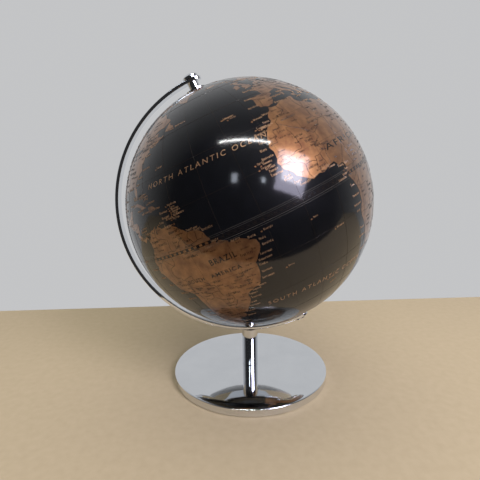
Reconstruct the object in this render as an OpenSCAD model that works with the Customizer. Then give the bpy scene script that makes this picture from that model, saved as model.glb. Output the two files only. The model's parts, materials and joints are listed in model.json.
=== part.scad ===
// Desktop globe on a chrome stand.
// A hollow printed ball spins on two pole pins, held by a bent metal strip.
// One post joins the strip to a weighted round base.
// Frame: origin at the centre of the base's underside, +Z up. The strip lies in
// the XZ plane on the -X side, so the north pole leans towards -X.

/* [Ball] */
// Outer diameter of the ball
ball_diameter = 200; // [180:1:240]
// Wall of each moulded half
ball_wall = 1.6; // [1.2:0.1:2.4]
// Lean of the spin axis from vertical, in degrees
axis_tilt = 24; // [18:0.5:28]
// Height of the band that joins the two halves inside
band_height = 12; // [8:1:20]
// Thickness of the joining band
band_thickness = 1.3; // [1:0.1:2]

/* [Meridian arm] */
// Free space between the ball and the arm
arm_gap = 7.5; // [6.5:0.5:12]
// Width of the flat strip
arm_width = 11; // [10:0.5:16]
// Thickness of the flat strip
arm_thickness = 2.5; // [2:0.1:4]
// Distance from a pole hole's centre to the rounded end of the strip
arm_end = 8; // [6:0.5:10]

/* [Post and base] */
// Diameter of the post
post_diameter = 14; // [12:0.5:20]
// Post length, from the top of the base to the underside of the arm
post_height = 33.4; // [30:0.2:60]
// Outer diameter of the base
base_diameter = 136; // [120:1:180]
// Diameter of the flat middle of the base
base_flat_diameter = 121; // [100:1:124]
// Full height of the base
base_height = 8.6; // [8:0.2:12]
// Height of the base's upright edge, where its rolled shoulder starts
base_edge_height = 6; // [5:0.1:7]
// Sheet thickness of the pressed base cover
base_sheet = 1.2; // [0.8:0.1:1.6]
// Thickness of the foam pad that the globe rests on
pad_thickness = 2; // [1.6:0.1:2.4]

/* [Pole hardware] */
// Diameter of the plain pin that the ball turns on
journal_diameter = 5; // [4:0.5:5.5]
// Thread diameter of the two pole screws
pole_thread = 6; // [6:0.5:7]
// Diameter of the threaded spacer sleeves
sleeve_diameter = 9; // [8.5:0.5:10]
// Diameter of the pole caps' flange
cap_diameter = 18; // [16:0.5:24]
// Thickness of the pole caps' flange
cap_thickness = 1.2; // [0.8:0.1:1.6]
// Diameter of the pole caps' neck, which passes through the ball's wall
neck_diameter = 10; // [9:0.5:12]
// Head diameter of the north pole screw
north_head_diameter = 13; // [11:0.5:14]
// Head height of the north pole screw
north_head_height = 4.6; // [3.5:0.1:6]
// Head diameter of the south pole screw
south_head_diameter = 10; // [8:0.5:11]
// Head height of the south pole screw
south_head_height = 2.5; // [2:0.1:4]

/* [Hidden] */
$fn = 96;
// Radial clearance of the pins that turn in the pole caps
running_clearance = 0.05;
// Radial clearance of a screw in its hole, and of pieces that seat on a curve
seat_clearance = 0.05;
// End play between the north sleeve and the north cap
north_play = 0.4;
// Gap between the thrust washer and the south cap
south_play = 0.1;

ball_r = ball_diameter / 2;
ball_inner_r = ball_r - ball_wall;
arm_inner_r = ball_r + arm_gap;
arm_outer_r = arm_inner_r + arm_thickness;
ball_z = base_height + post_height + arm_outer_r;

// Distances along the spin axis, from the ball's centre
cap_top = ball_r + cap_thickness;
neck_depth = 10;
pin_depth = neck_depth - 1;

// Thrust washer under the ball
thrust_diameter = 11;
thrust_thickness = 1;

// Lock rings that hold the pole caps from inside the ball
lock_diameter = 18;
lock_thickness = 1.4;

// Screw from the arm into the post
arm_thread = 4;
arm_head_diameter = 8;
arm_head_height = 2.6;
arm_screw_length = 12;
arm_washer_diameter = 9;
arm_washer_thickness = 0.8;

// Screw from the base into the post
base_thread = 6;
base_head_diameter = 11;
base_head_height = 2.3;
base_screw_reach = 12;
base_washer_diameter = 13;
base_washer_thickness = 1;

// Base cover, weight and pad
base_edge_lift = 0.6;
pad_diameter = base_diameter - 2 * base_sheet - 1.6;
weight_diameter = base_flat_diameter - 3;
weight_pocket_depth = base_head_height + base_washer_thickness + 0.1;
weight_top = base_height - base_sheet;

// Places its children in the ball's own frame: centre of the ball, Z along the
// spin axis to the north pole, X towards the open side of the arm.
module ball_frame() {
    translate([0, 0, ball_z]) rotate([0, -axis_tilt, 0]) children();
}

// The same frame turned over, so that Z points to the south pole.
module south_frame() {
    ball_frame() rotate([180, 0, 0]) children();
}

// Solid cylinder across the arm, about the ball's centre.
module across(radius) {
    rotate([90, 0, 0]) cylinder(r = radius, h = 4 * arm_width, center = true, $fn = 720);
}

// Plain ring or washer that stands on z = 0.
module ring(outer_d, inner_d, height) {
    difference() {
        cylinder(d = outer_d, h = height);
        translate([0, 0, -1]) cylinder(d = inner_d, h = height + 2);
    }
}

// Two crossed slots for a screwdriver, cut down from z = 0.
module cross_recess(length, width, depth) {
    translate([0, 0, -depth])
        linear_extrude(depth + 1)
            for (turn = [0, 90]) rotate(turn) square([length, width], center = true);
}

// Pan head whose underside is at z = 0: a short drum under a low dome, with a cross
// recess. A skirt carries the drum on downwards, to be cut to a curved seat.
module pan_head(diameter, height, skirt = 0) {
    rise = height * 0.55;
    dome_r = (diameter * diameter / 4 + rise * rise) / (2 * rise);
    difference() {
        intersection() {
            translate([0, 0, height - dome_r]) sphere(r = dome_r);
            translate([0, 0, -skirt]) cylinder(d = diameter, h = height + skirt + 1);
        }
        translate([0, 0, height])
            cross_recess(diameter * 0.56, diameter * 0.13, height * 0.45);
    }
}

// Profile of the base cover, from the axis out: flat middle, rolled shoulder on a
// quarter ellipse and upright edge, with the sheet thickness taken off inside.
module cover_profile() {
    outer_r = base_diameter / 2;
    flat_r = base_flat_diameter / 2;
    shoulder = [for (a = [0:10:90]) [
        flat_r + (outer_r - flat_r) * sin(a),
        base_edge_height + (base_height - base_edge_height) * cos(a)
    ]];
    polygon(concat(
        [[0, base_height]],
        shoulder,
        [
            [outer_r, base_edge_lift],
            [outer_r - base_sheet, base_edge_lift],
            [outer_r - base_sheet, base_edge_height - base_sheet - 0.4],
            [flat_r - 0.2, weight_top],
            [0, weight_top]
        ]
    ));
}

module base_cover() {
    color("gainsboro")
        difference() {
            rotate_extrude($fn = 180) cover_profile();
            cylinder(r = base_thread / 2 + seat_clearance, h = base_height + 1);
        }
}

module base_weight() {
    color("dimgray")
        difference() {
            translate([0, 0, pad_thickness])
                cylinder(d = weight_diameter, h = weight_top - pad_thickness);
            cylinder(d = base_washer_diameter + 1, h = pad_thickness + weight_pocket_depth);
            cylinder(r = base_thread / 2 + seat_clearance, h = base_height + 1);
        }
}

module base_pad() {
    color("black") cylinder(d = pad_diameter, h = pad_thickness);
}

module base_screw() {
    head_z = pad_thickness + 0.1;
    color("silver")
        union() {
            translate([0, 0, head_z]) cylinder(d = base_head_diameter, h = base_head_height);
            translate([0, 0, head_z])
                cylinder(d = base_thread, h = base_height + base_screw_reach - head_z);
        }
}

module base_washer() {
    color("silver")
        translate([0, 0, pad_thickness + 0.1 + base_head_height])
            ring(base_washer_diameter, base_thread + 2 * seat_clearance, base_washer_thickness);
}

// The post's top is hollowed to the curve of the arm, so the arm can't rock on it.
module post() {
    color("gainsboro")
        difference() {
            translate([0, 0, base_height]) cylinder(d = post_diameter, h = post_height + 2);
            translate([0, 0, ball_z]) across(arm_outer_r);
            translate([0, 0, base_height - 1])
                cylinder(r = base_thread / 2 + seat_clearance, h = base_screw_reach + 2);
            translate([0, 0, base_height + post_height - arm_screw_length])
                cylinder(r = arm_thread / 2 + seat_clearance, h = arm_screw_length + 4);
        }
}

// Half a hoop of flat strip, carried a little past the pole holes to rounded ends.
module arm() {
    past_hole = arm_end - arm_width / 2;
    color("gainsboro")
        difference() {
            ball_frame()
                intersection() {
                    rotate([90, 0, 0])
                        difference() {
                            cylinder(r = arm_outer_r, h = arm_width, center = true, $fn = 180);
                            cylinder(r = arm_inner_r, h = arm_width + 2, center = true, $fn = 180);
                        }
                    union() {
                        translate([past_hole - 2 * arm_outer_r, -arm_width, -2 * arm_outer_r])
                            cube([2 * arm_outer_r, 2 * arm_width, 4 * arm_outer_r]);
                        translate([past_hole, 0, 0])
                            cylinder(d = arm_width, h = 4 * arm_outer_r, center = true);
                    }
                }
            ball_frame()
                cylinder(r = pole_thread / 2 + seat_clearance, h = 4 * arm_outer_r, center = true);
            cylinder(r = arm_thread / 2 + seat_clearance, h = ball_z);
        }
}

// Washer between the arm and its screw, seated on the arm's inner curve.
module arm_washer() {
    color("silver")
        intersection() {
            translate([0, 0, ball_z - arm_inner_r - 1])
                ring(arm_washer_diameter, arm_thread + 2 * seat_clearance, arm_washer_thickness + 1);
            translate([0, 0, ball_z]) across(arm_inner_r - seat_clearance);
        }
}

module arm_screw() {
    head_z = ball_z - arm_inner_r + arm_washer_thickness;
    bottom_z = base_height + post_height - arm_screw_length + 1;
    color("silver")
        union() {
            translate([0, 0, head_z]) pan_head(arm_head_diameter, arm_head_height);
            translate([0, 0, bottom_z]) cylinder(d = arm_thread, h = head_z - bottom_z + 0.5);
        }
}

// Pole screw: a head outside the arm, a thread through the arm and its sleeve,
// and a plain pin that the ball turns on. z is along the spin axis, outwards.
module pole_screw(head_diameter, head_height, sleeve_start) {
    difference() {
        translate([0, 0, arm_outer_r]) pan_head(head_diameter, head_height, 1);
        across(arm_outer_r + seat_clearance);
    }
    translate([0, 0, sleeve_start]) cylinder(d = pole_thread, h = arm_outer_r + 0.6 - sleeve_start);
    translate([0, 0, ball_r - pin_depth])
        cylinder(d = journal_diameter, h = sleeve_start + 0.5 - ball_r + pin_depth);
}

// Threaded sleeve between the arm's inner curve and the pole cap.
module pole_sleeve(start) {
    intersection() {
        translate([0, 0, start])
            ring(sleeve_diameter, pole_thread + 2 * seat_clearance, arm_inner_r - start);
        across(arm_inner_r - seat_clearance);
    }
}

// Flanged bush: a thin disc seated on the ball, with a neck through its wall.
module pole_cap() {
    difference() {
        union() {
            difference() {
                translate([0, 0, ball_r - 1]) cylinder(d = cap_diameter, h = cap_thickness + 1);
                sphere(r = ball_r + seat_clearance, $fn = 180);
            }
            translate([0, 0, ball_r - neck_depth])
                cylinder(d = neck_diameter, h = neck_depth + cap_thickness);
        }
        translate([0, 0, ball_r - neck_depth - 1])
            cylinder(r = journal_diameter / 2 + running_clearance, h = neck_depth + cap_thickness + 2);
    }
}

// Ring that is pressed onto the cap's neck from inside the ball.
module lock_ring() {
    intersection() {
        translate([0, 0, ball_inner_r - lock_thickness - 0.4])
            ring(lock_diameter, neck_diameter + 2 * seat_clearance, lock_thickness + 2);
        sphere(r = ball_inner_r - seat_clearance, $fn = 180);
    }
}

// One moulded half of the ball, from the equator up, with a hole at its pole.
module half_shell() {
    difference() {
        sphere(r = ball_r, $fn = 180);
        sphere(r = ball_inner_r, $fn = 180);
        translate([-2 * ball_r, -2 * ball_r, -4 * ball_r]) cube(4 * ball_r);
        cylinder(r = neck_diameter / 2 + seat_clearance, h = 2 * ball_r);
    }
}

north_sleeve_start = cap_top + north_play;
thrust_start = cap_top + south_play;
south_sleeve_start = thrust_start + thrust_thickness;

module north_screw() {
    color("silver") ball_frame()
        pole_screw(north_head_diameter, north_head_height, north_sleeve_start);
}

module north_sleeve() {
    color("silver") ball_frame() pole_sleeve(north_sleeve_start);
}

module south_screw() {
    color("silver") south_frame()
        pole_screw(south_head_diameter, south_head_height, south_sleeve_start);
}

module south_sleeve() {
    color("silver") south_frame() pole_sleeve(south_sleeve_start);
}

module thrust_washer() {
    color("ivory") south_frame()
        translate([0, 0, thrust_start])
            ring(thrust_diameter, journal_diameter + 4 * running_clearance, thrust_thickness);
}

module north_cap() {
    color("silver") ball_frame() pole_cap();
}

module south_cap() {
    color("silver") south_frame() pole_cap();
}

module north_lock_ring() {
    color("ivory") ball_frame() lock_ring();
}

module south_lock_ring() {
    color("ivory") south_frame() lock_ring();
}

module north_half() {
    color([0.09, 0.09, 0.11]) ball_frame() half_shell();
}

module south_half() {
    color([0.09, 0.09, 0.11]) south_frame() half_shell();
}

// Band that laps both halves inside the ball, where they are glued together.
module joining_band() {
    color("ivory")
        ball_frame()
            difference() {
                intersection() {
                    sphere(r = ball_inner_r - seat_clearance, $fn = 180);
                    cylinder(r = ball_r, h = band_height, center = true);
                }
                sphere(r = ball_inner_r - band_thickness, $fn = 180);
            }
}

base_cover();
base_weight();
base_pad();
base_screw();
base_washer();
post();
arm();
arm_screw();
arm_washer();
north_screw();
north_sleeve();
south_screw();
south_sleeve();
thrust_washer();
north_cap();
north_lock_ring();
south_cap();
south_lock_ring();
north_half();
south_half();
joining_band();
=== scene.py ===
# %% [markdown]
# # A desktop globe on a chrome stand
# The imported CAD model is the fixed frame: it says where every piece is and how
# the ball spins. This lesson dresses that frame. The stand is bent, turned and
# pressed steel with a mirror chrome finish, and the ball is two moulded halves
# with a map printed in copper ink on black, under a clear gloss varnish.

# %% Load the frame
import json
import math
import random

import bmesh
import bpy
from mathutils import Matrix, Vector


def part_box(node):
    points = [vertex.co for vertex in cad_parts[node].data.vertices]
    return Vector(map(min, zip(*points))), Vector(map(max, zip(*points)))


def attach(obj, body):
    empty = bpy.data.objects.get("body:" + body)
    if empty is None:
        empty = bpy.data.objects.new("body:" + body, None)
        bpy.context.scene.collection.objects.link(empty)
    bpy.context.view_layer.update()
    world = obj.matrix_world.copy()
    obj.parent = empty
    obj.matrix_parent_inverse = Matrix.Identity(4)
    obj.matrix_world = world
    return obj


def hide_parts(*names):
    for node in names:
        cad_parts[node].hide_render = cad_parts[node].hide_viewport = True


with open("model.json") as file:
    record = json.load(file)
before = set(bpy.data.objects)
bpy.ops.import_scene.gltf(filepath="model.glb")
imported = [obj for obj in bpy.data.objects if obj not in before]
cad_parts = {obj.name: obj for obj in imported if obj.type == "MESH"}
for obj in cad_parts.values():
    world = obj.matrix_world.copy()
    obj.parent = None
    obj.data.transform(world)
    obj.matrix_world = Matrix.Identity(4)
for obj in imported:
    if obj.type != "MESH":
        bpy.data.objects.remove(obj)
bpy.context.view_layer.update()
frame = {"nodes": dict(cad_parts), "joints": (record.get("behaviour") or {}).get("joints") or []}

# %% [markdown]
# ## Sizes that the whole lesson uses
# Everything is in metres. The spin axis of the joint gives the tilt, the joint's
# place is the ball's centre, and the boxes of the CAD nodes give the rest, so
# no piece is fitted by eye.

# %% Sizes and the ball's own frame
MM = 0.001
joint = frame["joints"][0]
CENTRE = Vector(joint["pos_m"])
AXIS = Vector(joint["axis"]).normalized()
TILT = math.atan2(-AXIS.x, AXIS.z)
BALL_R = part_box("north_half")[1].y
BALL_FRAME = Matrix.Translation(CENTRE) @ Matrix.Rotation(-TILT, 4, "Y")
ARM_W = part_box("arm")[1].y * 2
ARM_OUTER = CENTRE.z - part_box("arm")[0].z
ARM_T = 2.5 * MM
BASE_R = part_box("base_cover")[1].y
BASE_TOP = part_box("base_cover")[1].z
RING_STEPS = 192
SHARP_DEG = 32
print("ball radius %.1f mm, tilt %.1f deg, arm radius %.1f mm" % (BALL_R / MM, math.degrees(TILT), ARM_OUTER / MM))

# %% [markdown]
# ## The camera
# A short lens close to the ball, a little above its centre. The eye height and
# the slight turn are those of someone who leans over a table to look at it.

# %% Camera
EYE = Vector((-21.4, -319.9, 180.7)) * MM
YAW, PITCH, ROLL = (math.radians(a) for a in (2.45, -10.38, -0.84))
camera = bpy.data.objects.new("camera", bpy.data.cameras.new("camera"))
camera.data.lens = 28.37
camera.data.sensor_width = 36
camera.matrix_world = (Matrix.Translation(EYE) @ Matrix.Rotation(-YAW, 4, "Z")
                       @ Matrix.Rotation(math.pi / 2 + PITCH, 4, "X") @ Matrix.Rotation(ROLL, 4, "Z"))
bpy.context.scene.collection.objects.link(camera)
bpy.context.scene.camera = camera
bpy.context.scene.view_settings.view_transform = "Standard"
print("camera %.0f mm from the ball's centre" % ((EYE - CENTRE).length / MM))

# %% [markdown]
# ## Helpers for materials
# One function turns an sRGB hex colour to linear, one starts a material, and one
# adds a node with its settings and its links. A pattern's scale always comes from
# a real size in millimetres, because a noise of scale s has bumps about 1/s wide.

# %% Material helpers
def ink(hex_colour):
    """Linear RGBA from an sRGB hex colour such as '#B5764A'."""
    parts = [int(hex_colour[i:i + 2], 16) / 255 for i in (1, 3, 5)]
    return [c / 12.92 if c <= 0.04045 else ((c + 0.055) / 1.055) ** 2.4 for c in parts] + [1.0]


def add(tree, kind, sockets=None, **settings):
    """Adds a node. A socket's value is a number, a colour, or another node's output to link."""
    made = tree.nodes.new(kind)
    for name, value in settings.items():
        setattr(made, name, value)
    for name, value in (sockets or {}).items():
        if isinstance(value, bpy.types.NodeSocket):
            tree.links.new(value, made.inputs[name])
        else:
            made.inputs[name].default_value = value
    return made


def start(name):
    """A new material with an empty tree, its surface output and object coordinates."""
    material = bpy.data.materials.new(name)
    material.use_nodes = True
    tree = material.node_tree
    tree.nodes.clear()
    surface = add(tree, "ShaderNodeOutputMaterial").inputs["Surface"]
    place = add(tree, "ShaderNodeTexCoord").outputs["Object"]
    return material, tree, surface, place


def per(mm):
    """Texture scale for a pattern whose cells are mm millimetres wide."""
    return 1 / (mm * MM)


# %% [markdown]
# ## Gloss varnish
# Both inks lie under the same clear polyester varnish. It flows out almost flat,
# which leaves a fine orange peel a few millimetres wide, and it carries a
# little dust. The coat of each ink is the same, so a reflection runs from sea to
# land without a step.

# %% Printed and varnished ball
def varnished(name, low, high, metallic, roughness, mottle_mm):
    """Printed ink between two colours, under clear varnish."""
    material, tree, surface, place = start(name)
    mottle = add(tree, "ShaderNodeTexNoise", {"Vector": place, "Scale": per(mottle_mm), "Detail": 5.0})
    grain = add(tree, "ShaderNodeTexNoise", {"Vector": place, "Scale": per(0.5), "Detail": 2.0})
    blend = add(tree, "ShaderNodeMath", {0: grain.outputs["Fac"], 1: 0.35, 2: mottle.outputs["Fac"]},
                operation="MULTIPLY_ADD")
    amount = add(tree, "ShaderNodeMapRange", {"Value": blend.outputs[0], "From Min": 0.45, "From Max": 0.95})
    colour = add(tree, "ShaderNodeMix", {0: amount.outputs[0], 6: ink(low), 7: ink(high)}, data_type="RGBA")
    rough = add(tree, "ShaderNodeMapRange", {"Value": grain.outputs["Fac"], "From Min": 0.3, "From Max": 0.7,
                                             "To Min": roughness - 0.05, "To Max": roughness + 0.07})
    peel = add(tree, "ShaderNodeTexNoise", {"Vector": place, "Scale": per(2.6), "Detail": 2.0})
    dust = add(tree, "ShaderNodeTexVoronoi", {"Vector": place, "Scale": per(3.5)})
    speck = add(tree, "ShaderNodeMapRange", {"Value": dust.outputs["Distance"], "From Min": 0.0,
                                             "From Max": 0.07, "To Min": 1.0, "To Max": 0.0})
    skin = add(tree, "ShaderNodeMath", {0: speck.outputs[0], 1: 0.5, 2: peel.outputs["Fac"]},
               operation="MULTIPLY_ADD")
    bump = add(tree, "ShaderNodeBump", {"Height": skin.outputs[0], "Strength": 0.3, "Distance": 0.04 * MM})
    # Ink and varnish have nearly the same index, so the ink's own surface hardly reflects.
    shader = add(tree, "ShaderNodeBsdfPrincipled", {
        "Base Color": colour.outputs[2], "Metallic": metallic, "Roughness": rough.outputs[0],
        "Specular IOR Level": 0.08, "Coat Weight": 1.0, "Coat Roughness": 0.1, "Coat IOR": 1.54,
        "Coat Normal": bump.outputs[0]})
    tree.links.new(shader.outputs[0], surface)
    return material


# Carbon black offset ink: a deep blue black that only shows colour in strong light.
SEA_INK = varnished("black_map_ink", "#060709", "#0C0D11", 0.0, 0.45, 9.0)
# Copper bronze ink: fine metal flakes that lie nearly flat, so it glows towards the light.
LAND_INK = varnished("copper_map_ink", "#734E35", "#A67A50", 0.85, 0.43, 6.0)
# Dark brown overprint for borders and small labels on land.
LINE_INK = varnished("brown_line_ink", "#0F0A08", "#1A110C", 0.1, 0.5, 2.0)
# The same copper ink where it is printed as thin letters on the sea.
NAME_INK = varnished("copper_line_ink", "#957254", "#BC9670", 0.6, 0.42, 2.0)
print("varnished inks made")

# %% [markdown]
# ## Mirror chrome
# Decorative chrome is a bright bluish metal film over polished nickel. It is
# close to a mirror. What shows that it is real is very fine polishing lines, a
# few finger smears and dust, all of which change its roughness and not its colour.

# %% Chrome
def chrome(name, tint, roughness, smear):
    material, tree, surface, place = start(name)
    cloud = add(tree, "ShaderNodeTexNoise", {"Vector": place, "Scale": per(22), "Detail": 4.0})
    smears = add(tree, "ShaderNodeMapRange", {"Value": cloud.outputs["Fac"], "From Min": 0.52, "From Max": 0.72,
                                              "To Min": 0.0, "To Max": smear})
    haze = add(tree, "ShaderNodeTexNoise", {"Vector": place, "Scale": per(0.9), "Detail": 3.0})
    rough = add(tree, "ShaderNodeMath", {0: haze.outputs["Fac"], 1: 0.03, 2: smears.outputs[0]},
                operation="MULTIPLY_ADD")
    total = add(tree, "ShaderNodeMath", {0: rough.outputs[0], 1: roughness}, operation="ADD")
    tone = add(tree, "ShaderNodeMix", {0: cloud.outputs["Fac"], 6: ink(tint), 7: ink("#E9EBEE")}, data_type="RGBA")
    wave = add(tree, "ShaderNodeTexNoise", {"Vector": place, "Scale": per(14), "Detail": 1.0})
    bump = add(tree, "ShaderNodeBump", {"Height": wave.outputs["Fac"], "Strength": 0.1, "Distance": 0.03 * MM})
    shader = add(tree, "ShaderNodeBsdfPrincipled", {
        "Base Color": tone.outputs[2], "Metallic": 1.0, "Roughness": total.outputs[0], "Normal": bump.outputs[0]})
    tree.links.new(shader.outputs[0], surface)
    return material


MIRROR = chrome("mirror_chrome", "#DADDE1", 0.02, 0.06)
BRIGHT = chrome("bright_chrome_screw", "#CFD2D6", 0.07, 0.08)
print("chrome made")

# %% [markdown]
# ## The hidden materials
# The globe comes apart, so the pieces inside get their real
# finishes too: zinc-plated screws, a cast iron weight, foam rubber, nylon and the raw
# plastic of the ball.

# %% Plain materials with one pattern each
def plain(name, low, high, metallic, roughness, cell_mm, depth_mm, relief=0.5):
    """One noise drives colour, roughness and bump: castings, foams and raw mouldings."""
    material, tree, surface, place = start(name)
    coarse = add(tree, "ShaderNodeTexNoise", {"Vector": place, "Scale": per(cell_mm * 9), "Detail": 3.0})
    fine = add(tree, "ShaderNodeTexNoise", {"Vector": place, "Scale": per(cell_mm), "Detail": 4.0})
    both = add(tree, "ShaderNodeMix", {0: 0.5, 2: coarse.outputs["Fac"], 3: fine.outputs["Fac"]})
    amount = add(tree, "ShaderNodeMapRange", {"Value": both.outputs[0], "From Min": 0.35, "From Max": 0.65})
    colour = add(tree, "ShaderNodeMix", {0: amount.outputs[0], 6: ink(low), 7: ink(high)}, data_type="RGBA")
    rough = add(tree, "ShaderNodeMapRange", {"Value": fine.outputs["Fac"], "From Min": 0.3, "From Max": 0.7,
                                             "To Min": roughness - 0.06, "To Max": roughness + 0.08})
    bump = add(tree, "ShaderNodeBump", {"Height": fine.outputs["Fac"], "Strength": relief,
                                        "Distance": depth_mm * MM})
    shader = add(tree, "ShaderNodeBsdfPrincipled", {
        "Base Color": colour.outputs[2], "Metallic": metallic, "Roughness": rough.outputs[0],
        "Normal": bump.outputs[0]})
    tree.links.new(shader.outputs[0], surface)
    return material


# Bright zinc plate: a fine spangle on rolled steel.
ZINC = plain("zinc_plated_steel", "#8F9499", "#B9BEC2", 1.0, 0.3, 0.6, 0.02)
# Sand-cast iron, painted grey: pitted about as coarse as the sand.
IRON = plain("cast_iron", "#2F3133", "#45484A", 0.6, 0.62, 0.8, 0.12)
# Closed-cell EVA foam: matt black with small open cells at its cut face.
FOAM = plain("eva_foam", "#131313", "#212121", 0.0, 0.85, 0.5, 0.1, 0.8)
# Natural nylon 66: a waxy cream that scatters light.
NYLON = plain("natural_nylon", "#D8CFB6", "#E8E1CC", 0.0, 0.42, 0.7, 0.01, 0.3)
# Raw high-impact polystyrene, as it leaves the mould.
RAW = plain("raw_polystyrene", "#C9C2AE", "#DAD4C3", 0.0, 0.4, 0.4, 0.01, 0.3)
NODE_FINISH = {
    "base_weight": IRON, "base_pad": FOAM, "base_screw": ZINC, "base_washer": ZINC,
    "arm_screw": BRIGHT, "arm_washer": BRIGHT, "north_screw": BRIGHT, "south_screw": BRIGHT,
    "north_sleeve": BRIGHT, "south_sleeve": BRIGHT, "north_cap": MIRROR, "south_cap": MIRROR,
    "thrust_washer": NYLON, "north_lock_ring": RAW, "south_lock_ring": RAW, "joining_band": RAW,
}
for node_name, finish in NODE_FINISH.items():
    for slot in frame["nodes"][node_name].material_slots:
        slot.material = finish
print("CAD nodes with their own finish:", len(NODE_FINISH))

# %% [markdown]
# ## From a bmesh to a riding piece
# Every new piece ends the same way: smooth faces, one object at the origin, a
# finish and the body it moves with, and the CAD nodes it stands for are hidden.
# Weighted normals keep the flat faces of the metal flat in a mirror.

# %% Piece helper
def piece(bm, name, material, body, stands_for=(), crisp=None):
    """Turns a finished bmesh into an object that rides on a body."""
    for face in bm.faces:
        face.smooth = True
    mesh = bpy.data.meshes.new(name)
    bm.to_mesh(mesh)
    bm.free()
    mesh.materials.append(material)
    thing = bpy.data.objects.new(name, mesh)
    bpy.context.scene.collection.objects.link(thing)
    if crisp is not None:
        mesh.set_sharp_from_angle(angle=math.radians(crisp))
        flats = thing.modifiers.new("flat faces stay flat", "WEIGHTED_NORMAL")
        flats.keep_sharp = True
    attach(thing, body)
    if stands_for:
        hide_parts(*stands_for)
    print("%s: %d faces" % (name, len(mesh.polygons)))
    return thing


def ring_edges(bm, radius, height):
    """The edges of a turned shape that run round at one radius and height."""
    def here(v):
        return abs(math.hypot(v.co.x, v.co.y) - radius) < 0.02 * MM and abs(v.co.z - height) < 0.02 * MM
    return [e for e in bm.edges if here(e.verts[0]) and here(e.verts[1])]


def soften(bm, edges, width_mm, segments):
    bmesh.ops.bevel(bm, geom=edges, offset=width_mm * MM, affect="EDGES", segments=segments,
                    profile=0.5, material=-1, offset_type="OFFSET", clamp_overlap=True)


# %% [markdown]
# ## The base cover
# The real cover is a disc pressed from 1.2 mm steel: a nearly flat middle whose edge
# rolls over, on a quarter ellipse, into a short upright wall. Sheet that is pressed
# like this springs back to a slight crown, a little under a millimetre here. It
# could be lathed with a modifier, but a spin of its closed profile gives exact
# rings. The shoulder squeezes the mirror image of the ball to two points, so it
# gets many rings, and the wall's foot only a small bevel.

# %% Spin the base cover
FLAT_R = 60.5 * MM
EDGE_H = 6.0 * MM
SHEET = 1.2 * MM
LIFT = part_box("base_cover")[0].z
HOLE_R = 3.05 * MM
SHOULDER_STEPS = 24
CROWN = 0.9 * MM
CROWN_STEPS = 20
cover = bmesh.new()
profile = [(HOLE_R, BASE_TOP)]
for k in range(1, CROWN_STEPS):
    out = k / CROWN_STEPS
    profile.append((HOLE_R + (FLAT_R - HOLE_R) * out, BASE_TOP - CROWN * out ** 2))
for k in range(SHOULDER_STEPS + 1):
    roll = math.pi / 2 * k / SHOULDER_STEPS
    profile.append((FLAT_R + (BASE_R - FLAT_R) * math.sin(roll),
                    EDGE_H + (BASE_TOP - CROWN - EDGE_H) * math.cos(roll)))
profile += [(BASE_R, LIFT), (BASE_R - SHEET, LIFT), (BASE_R - SHEET, EDGE_H - SHEET - 0.4 * MM),
            (FLAT_R - 0.2 * MM, BASE_TOP - CROWN - SHEET), (HOLE_R, BASE_TOP - SHEET)]
corners = [cover.verts.new((r, 0, z)) for r, z in profile]
loop = [cover.edges.new((corners[i], corners[i - 1])) for i in range(len(corners))]
bmesh.ops.spin(cover, geom=corners + loop, cent=(0, 0, 0), axis=(0, 0, 1), angle=math.tau,
               steps=RING_STEPS, use_merge=True)
bmesh.ops.remove_doubles(cover, verts=cover.verts[:], dist=0.001 * MM)
bmesh.ops.recalc_face_normals(cover, faces=cover.faces[:])
soften(cover, ring_edges(cover, BASE_R, LIFT), 0.3, 2)
piece(cover, "pressed_base_cover", MIRROR, "stand", ["base_cover"], crisp=SHARP_DEG)

# %% [markdown]
# ## The post
# A turned bar of 14 mm stock with a small chamfer where it stands on the base. Its top
# is hollowed to the arm's outer curve, so the top ring of a plain cone is
# moved onto that curve instead of being cut by a boolean.

# %% Turn the post
POST_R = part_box("post")[1].x
BLANK_H = 20 * MM
post = bmesh.new()
bmesh.ops.create_cone(post, cap_ends=True, cap_tris=True, segments=128, radius1=POST_R, radius2=POST_R,
                      depth=BLANK_H, matrix=Matrix.Translation((0, 0, BASE_TOP + BLANK_H / 2)))
soften(post, ring_edges(post, POST_R, BASE_TOP), 0.5, 3)
for v in post.verts:
    if v.co.z > BASE_TOP + BLANK_H * 0.75:
        v.co.z = CENTRE.z - math.sqrt(ARM_OUTER ** 2 - v.co.x ** 2)
piece(post, "turned_post", MIRROR, "stand", ["post"], crisp=SHARP_DEG)

# %% [markdown]
# ## The meridian arm
# The arm is a strip, cut flat with round ends and two holes, deburred, and
# then bent round a former. The lesson makes it in the same order: a flat outline
# with holes, a thickness, a small radius on every long edge, cross cuts every
# degree, and last the bend. Bent last, the edge radius stays the same all along.

# %% Blank the strip flat
BEND_R = ARM_OUTER
HALF_L = BEND_R * math.pi / 2
PAST_HOLE = 2.5 * MM
ARM_HOLE_R = 3.05 * MM
END_STEPS = 48
EDGE_RADIUS = 0.4
strip = bmesh.new()
rim = bmesh.ops.create_circle(strip, segments=END_STEPS, radius=ARM_W / 2,
                              matrix=Matrix.Rotation(math.pi / END_STEPS, 4, "Z"))["verts"]
for v in rim:
    v.co.y /= math.cos(math.pi / END_STEPS)
    v.co.x += math.copysign(HALF_L + PAST_HOLE, v.co.x)
for side in (-1, 1):
    bmesh.ops.create_circle(strip, segments=24, radius=ARM_HOLE_R, matrix=Matrix.Translation((side * HALF_L, 0, 0)))
bmesh.ops.triangle_fill(strip, use_beauty=True, edges=strip.edges[:])
bmesh.ops.recalc_face_normals(strip, faces=strip.faces[:])
grown = bmesh.ops.extrude_face_region(strip, geom=strip.faces[:])["geom"]
bmesh.ops.translate(strip, vec=(0, 0, ARM_T), verts=[g for g in grown if isinstance(g, bmesh.types.BMVert)])
bmesh.ops.recalc_face_normals(strip, faces=strip.faces[:])
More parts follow.
